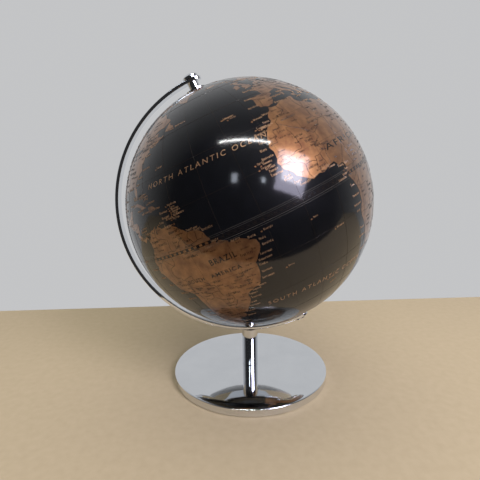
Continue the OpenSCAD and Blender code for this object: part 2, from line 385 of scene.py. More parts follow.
rim_edges = [e for e in strip.edges if e.is_manifold and e.calc_face_angle(0) > math.radians(60)]
soften(strip, rim_edges, EDGE_RADIUS, 3)
print("flat strip: %.1f mm long" % (2 * (HALF_L + PAST_HOLE + ARM_W / 2) / MM))

# %% Cut across every degree, then bend
for degree in range(-90, 91):
    geometry = strip.verts[:] + strip.edges[:] + strip.faces[:]
    bmesh.ops.bisect_plane(strip, geom=geometry, plane_co=(BEND_R * math.radians(degree), 0, 0),
                           plane_no=(1, 0, 0), dist=0.001 * MM)
for v in strip.verts:
    turn, radius = v.co.x / BEND_R, ARM_OUTER - ARM_T + v.co.z
    v.co = (-math.cos(turn) * radius, v.co.y, math.sin(turn) * radius)
bmesh.ops.dissolve_limit(strip, angle_limit=math.radians(0.05), verts=strip.verts[:], edges=strip.edges[:])
bmesh.ops.recalc_face_normals(strip, faces=strip.faces[:])
strip.transform(BALL_FRAME)
piece(strip, "bent_arm_strip", MIRROR, "stand", ["arm"], crisp=SHARP_DEG)

# %% [markdown]
# ## The two halves of the ball
# Each half is a moulded shell with a hole at its pole. A fine sphere is cut
# at the equator and at the hole, given its wall, and its rim broken by a hair,
# so that a thin joint line shows where the halves meet. The sphere is 0.1 mm
# smaller than the CAD ball: the printed layers fill that up.

# %% Mould the halves
SHELL_R = BALL_R - 0.10 * MM
NECK_R = 5.05 * MM
WALL = 1.5 * MM
JOINT_BEVEL = 0.14


def outward_normals(thing, from_radius):
    """Outer points take the true direction from the ball's centre, so reflections don't ripple."""
    mesh = thing.data
    normals = []
    for v in mesh.vertices:
        arm = v.co - CENTRE
        normals.append(arm.normalized() if arm.length > from_radius else (0.0, 0.0, 0.0))
    mesh.normals_split_custom_set_from_vertices(normals)


for half, turn in (("north", 0), ("south", math.pi)):
    dome = bmesh.new()
    bmesh.ops.create_uvsphere(dome, u_segments=RING_STEPS, v_segments=RING_STEPS // 2, radius=SHELL_R)
    for height, drop_above in ((0, False), (math.sqrt(SHELL_R ** 2 - NECK_R ** 2), True)):
        geometry = dome.verts[:] + dome.edges[:] + dome.faces[:]
        bmesh.ops.bisect_plane(dome, geom=geometry, plane_co=(0, 0, height), plane_no=(0, 0, 1),
                               clear_inner=not drop_above, clear_outer=drop_above, dist=0.0005 * MM)
    bmesh.ops.recalc_face_normals(dome, faces=dome.faces[:])
    if sum(f.normal.dot(f.calc_center_median()) for f in dome.faces) < 0:
        bmesh.ops.reverse_faces(dome, faces=dome.faces[:])
    bmesh.ops.solidify(dome, geom=dome.faces[:], thickness=WALL)
    soften(dome, ring_edges(dome, SHELL_R, 0), JOINT_BEVEL, 1)
    dome.transform(BALL_FRAME @ Matrix.Rotation(turn, 4, "X"))
    shell = piece(dome, half + "_half_shell", SEA_INK, "ball", [half + "_half"], crisp=SHARP_DEG)
    shell.modifiers.clear()
    outward_normals(shell, SHELL_R - 0.01 * MM)
    reach = max((v.co - CENTRE).length for v in shell.data.vertices)
    print("outer radius %.2f mm" % (reach / MM))

# %% [markdown]
# ## How the map is printed
# On the real ball the map is printed flat in strips, and pasted on. Here each
# layer of ink is a sheet 0.1 mm thick, made flat with longitude as x and latitude as
# y, cut along a two-degree grid so that it can bend, and then wrapped. That keeps every
# coast sharp, which a painted texture would not. The outlines below are drawn
# from general knowledge, a point every few degrees, and a seeded wobble between
# the points gives them the broken look of a real coast.

# %% Wrapping helpers
LON_IN_FRONT = -31.3
GRID = 2.0
LAND_TOP, WATER_TOP, LINE_TOP, NAME_TOP = (BALL_R - t * MM for t in (0.05, 0.03, 0.015, 0.0))
INK_FLOOR = SHELL_R - 0.05 * MM
coast_dice = random.Random(3)


def on_ball(lon, lat, radius):
    """A point in the ball's own frame, for a longitude and a latitude in degrees."""
    a, b = math.radians(lon - LON_IN_FRONT), math.radians(lat)
    return Vector((math.cos(b) * math.sin(a), -math.cos(b) * math.cos(a), math.sin(b))) * radius


def read(text):
    """Points from text such as '-5,36 -6,37'."""
    return [tuple(float(n) for n in pair.split(",")) for pair in text.split()]


def wobble(points, closed, shortest=0.8, sway=0.05):
    """Breaks long straight runs in two, again and again, each time a little off the line."""
    out = []
    ends = points[1:] + points[:1] if closed else points[1:]
    for (x0, y0), (x1, y1) in zip(points, ends):
        run = [(x0, y0), (x1, y1)]
        while math.dist(run[0], run[1]) > shortest:
            finer = [run[0]]
            for (ax, ay), (bx, by) in zip(run, run[1:]):
                off = coast_dice.uniform(-sway, sway)
                finer += [((ax + bx) / 2 - (by - ay) * off, (ay + by) / 2 + (bx - ax) * off), (bx, by)]
            run = finer
        out += run[:-1]
    return out if closed else out + [points[-1]]


def append(whole, part):
    """Moves all of one bmesh into another."""
    carrier = bpy.data.meshes.new("carrier")
    part.to_mesh(carrier)
    part.free()
    whole.from_mesh(carrier)
    bpy.data.meshes.remove(carrier)


def enclosed(points):
    """Area inside an outline, in square degrees, from its corners alone."""
    return abs(sum(x0 * y1 - x1 * y0 for (x0, y0), (x1, y1) in zip(points, points[1:] + points[:1]))) / 2


def flat_sheet(outlines):
    """One flat bmesh of every outline, filled, cut along the grid and in triangles."""
    whole = bmesh.new()
    worst = 0.0
    for points in outlines:
        part = bmesh.new()
        corners = [part.verts.new((x, y, 0)) for x, y in points]
        rim = [part.edges.new((corners[i - 1], corners[i])) for i in range(len(corners))]
        bmesh.ops.triangle_fill(part, use_beauty=True, edges=rim, normal=(0, 0, 1))
        worst = max(worst, abs(sum(f.calc_area() for f in part.faces) / enclosed(points) - 1))
        for axis in (0, 1):
            spots = [p[axis] for p in points]
            line = math.ceil(min(spots) / GRID) * GRID
            while line < max(spots):
                across = Vector((line, 0, 0)) if axis == 0 else Vector((0, line, 0))
                bmesh.ops.bisect_plane(part, geom=part.verts[:] + part.edges[:] + part.faces[:],
                                       plane_co=across, plane_no=across.normalized() if line else
                                       (Vector((1, 0, 0)) if axis == 0 else Vector((0, 1, 0))), dist=1e-5)
                line += GRID
        bmesh.ops.triangulate(part, faces=part.faces[:])
        append(whole, part)
    print("%d outlines filled, worst area error %.4f" % (len(outlines), worst))
    return whole


def raise_ink(bm, name, top, material):
    """Gives a sheet that lies at INK_FLOOR its thickness and makes it a piece of the ball."""
    bmesh.ops.remove_doubles(bm, verts=bm.verts[:], dist=0.002 * MM)
    grown = bmesh.ops.extrude_face_region(bm, geom=bm.faces[:])["geom"]
    new = [g for g in grown if isinstance(g, bmesh.types.BMVert)]
    bmesh.ops.scale(bm, vec=(top / INK_FLOOR,) * 3, verts=new)
    bmesh.ops.recalc_face_normals(bm, faces=bm.faces[:])
    bm.transform(BALL_FRAME)
    thing = piece(bm, name, material, "ball")
    outward_normals(thing, (top + INK_FLOOR) / 2)
    return thing


def wrap(bm):
    for v in bm.verts:
        v.co = on_ball(v.co.x, v.co.y, INK_FLOOR)


# %% The coasts of the Americas
LAND = {}
LAND["south_america"] = """
-77.3,8.6 -76.8,7.9 -76.2,9.3 -75.5,10.6 -74.8,11.1 -74.2,11.3 -73,11.3 -71.7,12.4 -71.4,11 -70.2,11.6
-70,12.2 -69.6,11.5 -68.3,10.9 -68.1,10.5 -66.2,10.6 -65,10.1 -64.2,10.5 -62,10.7 -62.6,10.1 -60.9,9.3
-60.2,8.5 -58.5,7.3 -57.2,6 -55.1,6 -53.9,5.8 -52.3,5 -51.3,4 -50.6,2 -49.9,1.2 -50.5,0 -51.6,-1.2 -50,-0.2
-48.5,-0.3 -48.4,-1.4 -47.3,-0.6 -46,-1.1 -44.4,-2 -44.3,-2.9 -43.3,-2.4 -41.8,-2.9 -40,-2.9 -38.5,-3.7
-37.2,-4.8 -35.9,-5.1 -35.2,-5.5 -34.8,-7.2 -35,-8.5 -35.6,-9.7 -36.7,-10.8 -37.5,-11.9 -38.3,-12.9 -39,-13.4
-38.9,-15.9 -39.2,-17.7 -39.7,-19.4 -40.4,-20.6 -41,-22 -42,-23 -43.3,-23 -44.6,-23.2 -45.5,-23.8 -46.5,-24.1
-48,-25.1 -48.6,-26.2 -48.6,-27.9 -49,-28.8 -50.1,-30.1 -51.4,-31.7 -52.1,-32.3 -53.4,-33.8 -54.3,-34.7
-56.2,-34.9 -57.8,-34.4 -58.4,-34 -58.2,-34.8 -57.2,-35.5 -57.2,-36.3 -56.7,-36.8 -57.5,-38.1 -59.2,-38.8
-62.1,-39 -62.3,-40.6 -63.8,-41.1 -65.1,-41 -64.9,-42.3 -63.6,-42.5 -64.5,-43.2 -65.3,-44.5 -66.5,-45.2
-67.5,-46 -66.8,-47 -65.8,-47.9 -67.5,-49 -67.9,-50.2 -69,-51 -68.4,-52.4 -70.5,-53 -68.3,-53.4 -66.8,-54.3
-65.3,-54.8 -68,-55.3 -70.5,-55 -73,-53.8 -74.6,-52.5 -75.3,-50.5 -75.5,-48.5 -74.3,-47.3 -75.4,-46.4
-73.8,-45 -73.2,-43.4 -74,-42 -73.7,-40.3 -73.3,-38.5 -73.6,-37.3 -72.7,-35.5 -71.7,-33.5 -71.5,-30.5
-71,-28.5 -70.5,-26 -70.4,-23.5 -70.1,-20.5 -70.3,-18.4 -71.5,-17.3 -73.8,-16.1 -75.5,-15 -76.4,-13.8
-77.2,-12.1 -78.1,-10.2 -79.1,-8.2 -80,-6.6 -81.1,-6 -81.3,-4.4 -80.4,-3.4 -79.9,-2.6 -80.9,-2.2 -80.6,-0.8
-80,0.6 -79,1.5 -78.4,2.5 -77.2,3.9 -77.4,5.6 -77.4,6.7 -77.9,7.3"""
LAND["north_america"] = """
-77.9,7.3 -78.2,8.2 -79,8.9 -80,8.2 -80.8,7.3 -82,8.2 -83.5,8.5 -84,9.5 -85.8,10.2 -86,11.5 -87.5,12.9
-88.5,13.2 -91.5,13.9 -93.5,15.6 -95,15.9 -98,16.2 -101,17.4 -103.5,18.5 -105.5,20.3 -105.4,21.7 -106.6,23.3
-109,25.7 -110.9,27.9 -112.6,30.5 -114.8,31.8 -113,28.8 -111.3,26.3 -109.6,23.4 -110.1,22.9 -112.1,25.5
-115,27.8 -114.3,28.3 -116,30.3 -117.1,32.5 -118.4,33.9 -120.6,34.6 -122.5,37.6 -124.3,40.4 -124.3,43
-124,46 -124.6,48.3 -122.7,47.6 -123,49 -127.5,51 -130.3,54.2 -133,55.6 -136,58 -139.5,59.6 -144.5,60.1
-149.5,59.9 -151.6,59.3 -154.3,58.3 -158,56.4 -164.5,54.7 -160,56.2 -157.6,58.5 -162,58.8 -165.4,60.8
-165,62.6 -161.2,63.7 -164.8,64.6 -168,65.6 -162.2,66.4 -166.2,68.8 -162.8,69.9 -156.5,71.3 -148,70.4
-141,69.6 -135,69.1 -129,70 -122,69.8 -115.5,69 -115,67.9 -108.5,68 -104,68 -98,68 -96,70 -93.5,71.7
-91.5,69.6 -88.5,68.7 -85.5,69.6 -81.8,68.8 -84,66.4 -87.2,65.4 -88,64.2 -91,63.3 -93.8,61.5 -94.6,59
-92.5,57 -87.5,56 -82.5,55.2 -82.2,53 -80.5,51.3 -79,51.8 -79.6,54.6 -76.9,56 -77,57.6 -78,60 -77.4,62.4
-73.5,62.2 -70,60.9 -69,58.9 -66,58.9 -64.5,60.3 -62.3,58.2 -61.3,57 -60,55.3 -57.5,54.4 -55.8,52.6
-58.5,51.3 -60.2,50.3 -65,50.3 -67,49.8 -69.5,47.9 -67.2,48.9 -64.4,48.9 -65,47.9 -64.8,46.6 -61.5,45.8
-60,46.4 -60,45.8 -61.3,45.2 -63.5,44.6 -65.5,43.5 -66.2,44.2 -64.8,45.5 -67,44.8 -68.8,44.3 -70.3,43.6
-70.8,42.6 -70,41.8 -72,41.2 -74,40.7 -74.3,39.4 -75.4,38 -76.2,38.8 -76,36.8 -75.6,35.3 -76.6,34.7
-78,33.9 -79.3,33 -81.2,31.6 -81.3,29.7 -80.1,27 -80.3,25.3 -81.2,25.2 -82,26.7 -82.8,28 -82.8,29.1
-84,30 -85.3,29.7 -86.4,30.4 -88.2,30.3 -89.5,30.2 -89.2,29.2 -91.5,29.4 -93.8,29.7 -95.3,28.9 -97.2,27.6
-97.3,26 -97.7,24.2 -97.8,22.5 -97.2,20.8 -96.2,19.4 -95.2,18.6 -94,18.2 -91.7,18.6 -90.6,19.8 -90.2,21.1
-87,21.5 -87.6,19.6 -88.2,18 -88.7,16 -87.5,15.9 -85,15.9 -83.2,15 -83.6,13 -83.8,11.3 -83.2,10.1
-82.2,9.1 -81,8.8 -79.6,9.6 -78.4,9.4"""
LAND["greenland"] = """
-43.5,60 -46.5,60.8 -49.8,62.2 -51.5,64 -53.6,66.8 -51,69.5 -54.5,70.8 -56,73.5 -61,76 -69,76.2 -70.5,77.5
-67,79.2 -64,81.2 -55,82.2 -45,82.6 -33,83.5 -22,82.3 -12.5,81.5 -18,79.2 -19,76.5 -21,74 -22.5,71.5 -26,70
-25,68.8 -32,68 -37,65.8 -40.5,65 -42.3,62.8"""
LAND["baffin"] = """
-61.5,66.5 -64,65 -67.5,63.2 -65.5,62.2 -71,62.9 -74,64.4 -77.5,64.4 -74,65.5 -73,67.8 -77,69.5 -84.5,70
-88.5,70.8 -89.5,72.8 -84.5,73.6 -80.5,73.6 -77.5,72.7 -72.5,71.6 -68.5,70.2"""
LAND["ellesmere"] = """
-76.5,76.3 -81,76.2 -89,76.5 -87.5,78 -92.5,80.5 -90,81.8 -82,82.9 -70,83 -62.5,82.5 -65,81.3 -72,79.8 -75.5,78.5"""
LAND["victoria"] = """-105,69.2 -113,68.6 -116.5,69.4 -117.5,71 -118.5,72.4 -112,73 -105.5,73.4 -105,71.5 -102,70"""
LAND["banks"] = """-120.5,71.3 -125.5,72 -124.5,74 -119.5,74.2 -116.5,73.2"""
LAND["melville"] = """-107,74.8 -116,75.1 -117,76.4 -109,76.7 -105.5,75.9"""
LAND["devon"] = """-80,74.7 -91.5,74.8 -92,76.4 -86,76.2 -80.5,75.6"""
LAND["southampton"] = """-80.5,63.8 -84.5,62.9 -87,63.7 -85.8,65.7 -82.5,64.6"""
LAND["newfoundland"] = """-53,46.7 -55.5,46.9 -59.2,47.7 -58,49.2 -56,51.5 -55.4,49.9 -53.6,48.9"""
LAND["vancouver"] = """-123.5,48.4 -125.5,48.9 -128.2,50.7 -126,50.4 -124.2,49.3"""
LAND["cuba"] = """-84.9,21.9 -82.8,22.8 -80.5,23.1 -77.5,21.9 -74.3,20.2 -77.6,19.9 -78.1,20.8 -81.3,22 -83.2,22.1"""
LAND["hispaniola"] = """-74.4,18.4 -72.4,18.5 -72.8,19.8 -69.9,19.7 -68.4,18.6 -70.2,18.3 -71.5,17.7"""
LAND["jamaica"] = """-78.3,18.2 -77.8,18.5 -76.3,18.1 -77.2,17.8"""
LAND["puerto_rico"] = """-67.2,18 -67.1,18.5 -65.7,18.4 -65.8,18"""
LAND["trinidad"] = """-61.9,10.1 -61.6,10.8 -60.9,10.8 -61,10.1"""
LAND["falklands"] = """-61,-51.9 -60,-51.3 -57.8,-51.6 -59,-52.3"""
print("outlines of the Americas:", len(LAND))

# %% The coasts of Europe, Africa and Asia
LAND["africa"] = """
-5.9,35.8 -4.4,35.2 -2,35.1 0,35.9 3,36.8 7,37 10,37.3 11,36.9 10.3,35 10.8,33.8 13,32.9 15.3,32.3 17.5,30.9
20,30.9 20,32.4 22,32.9 25,31.6 29,30.9 31,31.5 32.5,31.1 32.6,29.9 33.6,27.8 35.5,24 37.2,21 37.4,18.6
39.5,15.5 41.5,13.8 43.2,12 43.3,11.5 45,10.5 48,11.1 51.2,11.8 50.9,10.3 49.6,7.5 48,4.6 45.5,2.2 43,-0.6
41.5,-1.9 40.1,-3.2 39,-5 39.5,-7 39.8,-9 40.5,-10.6 40.7,-14.8 38.8,-17 36.5,-18.8 34.9,-19.9 35.4,-22.1
35.4,-24 32.8,-25.9 32.5,-28.4 30.7,-30.7 28,-32.9 25.7,-34 22,-34.1 20,-34.8 18.4,-34.1 18.2,-32 16.7,-28.8
15.1,-26.5 14.4,-22.7 12.2,-18.5 11.8,-16 13.4,-12.6 13.2,-9 12.2,-6 11,-3.9 9,-1 9.4,0.8 9.8,2.5 9.4,4
8.5,4.6 7,4.4 6,4.3 4.9,5.8 4.3,6.4 1.5,6.1 -0.3,5.4 -2,4.8 -4,5.2 -5.6,5.1 -7.6,4.4 -9.5,5.6 -11.4,6.9
-13.1,8.2 -13.4,9.3 -14.9,10.9 -16.7,12.5 -16.6,13.5 -17.4,14.7 -16.5,16.1 -16.2,18.8 -17,20.9 -16.3,22.3
-15.8,23.9 -14.5,26.1 -13,27.9 -11,28.9 -9.8,29.8 -9.7,31.5 -8.4,33.3 -6.8,34.2"""
LAND["madagascar"] = """
49.3,-12.2 50.4,-15.6 49.6,-17 48.6,-20.5 47.2,-24.8 45.2,-25.5 43.8,-23.8 43.4,-21.8 44.4,-20 44.2,-16.5
46.2,-15.7 48,-14"""
LAND["eurasia"] = """
-5.4,36.1 -2.1,36.8 -0.6,38 0.1,38.8 -0.2,39.9 1,41 3.2,41.9 3.1,43.1 4.9,43.4 7.5,43.8 8.8,44.4 10.2,43.9
10.9,42.6 12.3,41.8 14,40.9 15.7,39.9 16.1,38.7 15.7,38 16.6,38.5 17.1,39.1 16.6,39.8 17,40.5 18.4,39.9
18,40.8 16,41.5 15.9,41.9 14.2,42.5 13.5,43.7 12.4,44.4 12.5,45.4 13.7,45.6 13.7,44.9 15,44.4 16.2,43.5
17.6,42.9 19.3,41.9 19.4,40.5 20.5,39.2 21.3,38.3 21.7,36.9 23.1,36.5 23.4,37.5 24,37.7 22.9,39.1 22.8,40.4
24,40.2 26,40.8 28.6,41 29,41.3 28,42.1 28,43.4 29.6,44.8 30.8,46.5 32.6,46.1 33.6,44.5 35.3,45.1 35.2,46.1
37.5,47.1 39.2,47.1 38,46.3 37.2,45.2 38.9,44.3 41.5,42 39.5,41.1 36.5,41.4 35,42.1 31.5,41.4 29.4,41.2
29.3,40.7 27,40.3 26.1,39.5 26.8,38.3 27.4,36.8 29,36.4 30.5,36.4 30.8,36.9 32.8,36.1 36,36.8 35.8,35.3
35,33 34.2,31.3 32.7,31.1 32.7,29.9 34.2,27.9 34.9,29.4 35.2,28.1 37.2,25 39,22 39.7,20.3 42.5,16.8 43.4,12.8
45,12.9 48.7,14 52.2,15.7 55,17 57.8,19 58.7,20.6 59.8,22.4 57.3,23.9 56.4,26.3 56,24.8 54,24.1 51.7,24
51.4,26 50.3,26.5 48.8,28 48,29.9 50,30.1 51.4,27.9 54.5,26.6 57,27 57.5,25.7 61.6,25.2 66.5,25.3 67.6,23.9
69.6,22.3 70.5,20.8 72.5,21.4 72.8,19 73.6,15.9 75,12 76.3,9.5 77.5,8.1 78.2,9 79.9,10.3 80.2,13.2 80.2,15.6
82.3,16.7 85.2,19.5 87,21.2 88.5,21.8 90.5,22.4 91.8,22.4 92.4,20.6 94.2,18.8 94.4,16 95.6,15.8 97,17.2
97.7,15 98.6,12 98.3,8.2 100.3,6.2 101.3,3 103.5,1.4 104.2,1.5 103.4,4 102.2,6.2 100.3,8.4 99.3,10 99.9,12.7
100.5,13.5 101,12.7 102.5,12.1 103.5,10.6 104.9,8.7 106.8,10.3 109.2,11.8 109.2,13.6 107.9,16.4 106,18.8
106,20 108,21.5 109.8,21.4 110.3,20.4 110.7,21.3 113.5,22.2 116.7,23.2 119,25.5 121.5,28.3 121.9,30.9
120.5,33.5 119.3,35 122.4,37 119,37.5 117.8,38.8 121,40.8 121.3,39 124.4,40 125.2,38 126.5,36.7 126.4,34.6
129.2,35.3 129.4,37 127.6,39.5 130,42.2 132.2,43.2 135.5,44.6 138.5,46.8 140.3,48.6 141.3,53 137.6,54
135.4,54.8 139,57.3 142.5,59.3 150,59.6 155,59.4 159.5,61.7 163.8,62.5 161.5,60.2 157,57.9 155.7,55
156.7,51.1 160,53.2 162.5,56 163.3,58.1 170,60 177,62.6 179.4,62.6 180,64.8 186,64.4 190.2,66 185,67
180.5,68.9 170,69.9 160,69.7 151,71.4 140,72.5 131,71.2 127.5,73.4 113.5,73.9 104.3,77.6 98,76.3 87,75
80.8,73.5 80,72.2 75,72.8 74.8,71 73.5,68.3 71.5,66.6 72.4,69.5 72.5,72.6 69.5,72.9 66.8,71 67.2,69.4
60.7,69.8 60.5,68.8 54.5,68.4 48,67.7 44.2,68.5 43.8,66.3 40.3,64.7 37,63.9 34.9,64.5 33,66.6 38,66.1
41,66.8 40.6,67.8 36,69.1 31,69.8 25.7,71 19.5,69.8 14.5,67.8 12.5,65.6 10,63.8 5.3,62.1 5,60 5.7,58.8
7.5,58.1 10.4,59.3 11.3,58.8 12.3,56.5 13,55.5 14.3,55.6 16.4,56.5 16.9,58.5 18.9,59.9 17.2,61.4 18.5,63.1
21.5,64.6 22.2,65.7 25.2,65 22.5,63.5 21.4,61.5 22.6,60 28,60.5 29.9,59.9 27.8,59.5 23.5,59.2 24.3,57.5
22.6,57.6 21.1,56.6 19.9,54.8 18.5,54.6 14.3,53.9 11,54.1 10.1,55 10.5,57.6 8.2,57 8.2,55.4 8.8,54 7,53.5
4.8,52.9 3.5,51.4 1.6,50.8 0.3,49.5 -1.3,49.6 -1.6,48.7 -4.7,48.5 -4.3,47.9 -2.2,47.2 -1.2,45.9 -1.4,44.4
-1.8,43.4 -5.8,43.6 -9.2,43.2 -8.8,41.5 -9.5,38.8 -8.8,37.1 -7.4,37.1 -6.3,36.6"""
LAND["britain"] = """
-5.3,50.1 -3.5,50.3 -1.2,50.7 1.3,51.2 0.6,51.7 1.7,52.7 0.3,53 -0.2,54.2 -1.6,55.6 -3.2,56 -2,57.5 -4,57.7
-3.2,58.6 -5,58.5 -6,56.8 -4.9,54.8 -3.1,54.4 -3.1,53.4 -4.6,53.2 -4.3,52.2 -5.1,51.7 -3.2,51.4"""
LAND["ireland"] = """-6.3,52.2 -9.8,51.6 -9.5,53.2 -10,54.2 -8.3,54.6 -7.4,55.3 -5.6,54.6 -6.1,53.4"""
LAND["iceland"] = """-18.8,63.4 -22.6,63.9 -22,64.5 -24.3,65.5 -22.5,66.4 -20.3,65.7 -16.2,66.5 -13.7,65.2 -15,64.3"""
LAND["svalbard"] = """16.7,76.6 13.8,77.6 11,79.5 16,80 25,80.2 20.5,78.7 18.5,77.5"""
LAND["novaya_zemlya"] = """57.5,70.6 53,71 52,72 56,74.5 61,76.2 68.5,76.9 64.5,75.8 58,74 56,72.2"""
LAND["severnaya"] = """96,79 101,78 105,78.8 99.5,80 95,81.2"""
LAND["new_siberia"] = """138,74.5 143.5,73.5 150.5,75 145,75.8 139,76"""
LAND["corsica"] = """9.2,41.4 8.6,42.2 9.4,43 9.5,42"""
LAND["sardinia"] = """8.4,39 8.2,40.8 9.2,41.2 9.8,40.3 9.5,39.2"""
LAND["sicily"] = """12.5,37.8 13.4,38.2 15.6,38.2 15.2,36.7 14.2,37"""
LAND["crete"] = """23.6,35.3 24,35.6 26.3,35.3 25,35"""
LAND["cyprus"] = """32.4,34.8 33,35.3 34.5,35.6 33.8,34.9"""
LAND["ceylon"] = """79.9,9.7 81.2,8.5 81.8,7 80.6,5.9 79.9,7.2"""
LAND["sumatra"] = """95.3,5.6 97.5,5.2 100.4,2.6 103.5,0 104.5,-2 106,-3.2 105.7,-5.8 104,-5 101.3,-2.9 98.8,1.6"""
LAND["java"] = """105.3,-6.7 106.8,-6 108.8,-6.7 110.9,-6.4 114.4,-7.8 114.4,-8.7 110.5,-8.1 106.5,-7.4"""
LAND["borneo"] = """
109,0.3 109.6,2 111.3,2.6 113.2,3.4 115.5,5.5 117,7 119.2,5.3 117.6,4 118.9,1 117.5,-0.8 116,-3.9 114.5,-4
111.8,-3.4 110.1,-1.7"""
LAND["celebes"] = """
119.8,0.2 120.2,1.3 123,0.9 125.1,1.6 124.3,0.4 121,0.4 120.9,-1.3 123.2,-0.9 121.7,-2 122.9,-4.3 121.6,-4.7
120.9,-2.8 120.4,-5.5 119.5,-5.3 118.9,-2.8"""
LAND["new_guinea"] = """
131,-0.8 134,-0.8 135,-3.3 137.8,-1.5 141,-2.6 144.6,-3.9 147.7,-6 147.2,-7 150.7,-10.5 147,-9.5 144.5,-7.7
142.6,-9.3 139,-8.1 138,-5.6 135.2,-4.4 132.8,-4 132,-2.8"""
LAND["luzon"] = """120.3,16 120.6,18.5 122.2,18.5 121.6,16.2 122,14.2 124,12.9 123.3,13 121,13.7"""
LAND["mindanao"] = """122,7 123.4,8.7 125.5,9.8 126.5,7.4 125.5,5.7 124,6.8"""
LAND["taiwan"] = """120.1,23 121,25.1 122,25 120.9,22"""
LAND["hainan"] = """108.7,19.2 109.6,20 111,19.9 110,18.4"""
LAND["honshu"] = """
131,34 133,35.5 136,35.7 137,37.4 139.5,38.3 140.1,40.8 141.4,41.4 142,39.5 141,38.2 140.8,35.7 139,34.8
137,34.7 135.6,33.5 135,34.6 132.4,34"""
LAND["hokkaido"] = """140,41.5 140.4,43.3 141.8,45.4 144.5,44 145.5,43.3 143.3,42"""
LAND["kyushu"] = """129.8,33.1 130.9,33.9 132,33.2 131.3,31.4 130.2,31.3"""
LAND["shikoku"] = """132.6,33.4 134.4,34.3 134.2,33.3 132.9,32.8"""
LAND["sakhalin"] = """142,46 142.1,50 143.2,54.2 143.3,51.5 144.6,49 142.8,47.5"""
print("outlines so far:", len(LAND))

# %% The coasts of the south, and small islands as rings
LAND["australia"] = """
142.5,-10.8 143.7,-14.4 145.4,-15 146.3,-18.9 149,-20.5 150.9,-23.2 153.2,-25.4 153.5,-28.5 152.5,-32.3
150.8,-34.8 150,-37.2 147.5,-38 145,-38.1 143.5,-38.8 140.5,-38 138.6,-35.6 137.9,-33.2 136,-34.8 134,-32.8
131.2,-31.5 126,-32.3 123.7,-33.8 120,-33.9 118,-35 115.2,-34.3 115.8,-32 114.7,-29 113.5,-26.5 113.7,-22.6
116.8,-20.6 121,-19.5 122.3,-17.2 125,-15 127,-14 129.4,-14.9 130.8,-12.4 132.7,-11.3 136.6,-12 135.6,-15
139.2,-17.4 140.9,-17.4 141.7,-14"""
LAND["tasmania"] = """144.8,-40.8 148.2,-40.9 148,-43 146.3,-43.5 145.2,-42.2"""
LAND["new_zealand_north"] = """172.8,-34.5 175.3,-36.6 178.4,-37.7 177,-39.5 175.3,-41.5 174,-39.4 174.8,-37.8"""
LAND["new_zealand_south"] = """172.7,-40.6 174.2,-41.8 172.8,-43.8 170.8,-45.8 168.6,-46.6
166.6,-45.8 168.5,-44 171,-42.5"""
LAND["new_britain"] = """148.5,-5.7 151.8,-4.3 152.2,-5.3 150,-6.3"""
LAND["new_caledonia"] = """164,-20.2 166.9,-22.3 166.2,-22.3 164.3,-21"""
LAND["antarctica"] = """
-180,-78.2 -160,-78 -150,-77 -135,-74.6 -115,-73.8 -100,-72.8 -80,-73 -72,-72 -66,-67 -58,-63.4 -60.5,-66
-62,-70 -61,-74.5 -76,-77.5 -60,-79.5 -45,-78 -30,-76.5 -18,-73 -8,-71 10,-70 30,-69.4 40,-69 50,-66.8
60,-67.5 70,-68.6 74,-70 80,-68 95,-66.5 115,-66.6 135,-66 150,-68.4 165,-70.5 170,-72 165,-77.5 180,-78.2
180,-85.4 -180,-85.4"""
ISLETS = read("""
-24.3,15 -23,16.2 -24.9,16.9 -16.5,28.3 -15.5,28.1 -14,28.5 -17.9,28.7 -16.9,32.7 -25.5,37.8 -28,38.6
-27.2,38.7 -3,39.6 3,39.6 14.4,35.9 28,36.3 -61,14.6 -61.4,15.4 -61.6,16.2 -61,13.9 -61.2,13.2 -61.7,12.1
-59.5,13.2 -62.7,17.3 -64.8,32.3 -69,12.2 -77.5,25 -78,24.3 -76,24 -75,23 -73,21 -81.7,12.6 -90.5,-0.6
-91,-0.4 -32.4,-3.8 -14.4,-7.9 -5.7,-16 -9.9,-40.3 -12.3,-37.1 6.6,0.2 7.4,1.6 8.7,3.5 -36.8,-54.3
-29.3,-20.5 55.5,-21.1 57.5,-20.3 55.5,-4.6 43.4,-11.7 45.2,-12.8 69.5,-49.3 73,4 -155.5,19.6 -157.8,21.4
-156.3,20.8 -159.5,22 178,-17.8 179,-16.8 -172,-13.8 -149.5,-17.6 166.9,-15.4 168.3,-17.7 160,-9.5
158,-8.3 155.3,-6.2 146,15 144.8,13.5 134.5,7.5 127.7,26.4 130.5,30.4 -6.5,62 -1.3,60.4 -7,57.9
-8.5,71 53.8,12.5 39.4,-6.1 11.8,57 18.7,57.5 20.3,60.2 123,10.5 125,11.5 118.5,9.8 120,-9.3 125,-9
118,-8.5 116,-8.6 128.5,-3.2 130,-3.5 127,-3.3 108,3.5 105.8,-2.5 92.8,12 93.6,7.5 97.5,1 99,-2 -109.4,-27.1""")


def islet(lon, lat, size=0.42):
    """A small uneven ring of eight points."""
    return [(lon + math.cos(k * math.tau / 8) * size * coast_dice.uniform(0.6, 1.1) / math.cos(math.radians(lat)),
             lat + math.sin(k * math.tau / 8) * size * coast_dice.uniform(0.5, 0.9)) for k in range(8)]


print("outlines:", len(LAND), "and small islands:", len(ISLETS))

# %% Print the land
coasts = [wobble(read(text), True) for name, text in LAND.items() if name != "antarctica"]
ice = read(LAND["antarctica"])
coasts.append(wobble(ice[:-2], False, 3.0) + [(180, -85.4), (-180, -85.4)])
coasts += [islet(lon, lat) for lon, lat in ISLETS]
land = flat_sheet(coasts)
wrap(land)
raise_ink(land, "land_print", LAND_TOP, LAND_INK)

# %% [markdown]
# ## Lakes and inland seas
# They are gaps in the copper, where the black base ink shows. A patch of the
# black ink a hair above the land looks the same under the varnish. Some lakes are
# too narrow for the wobble, which would make their two shores cross.

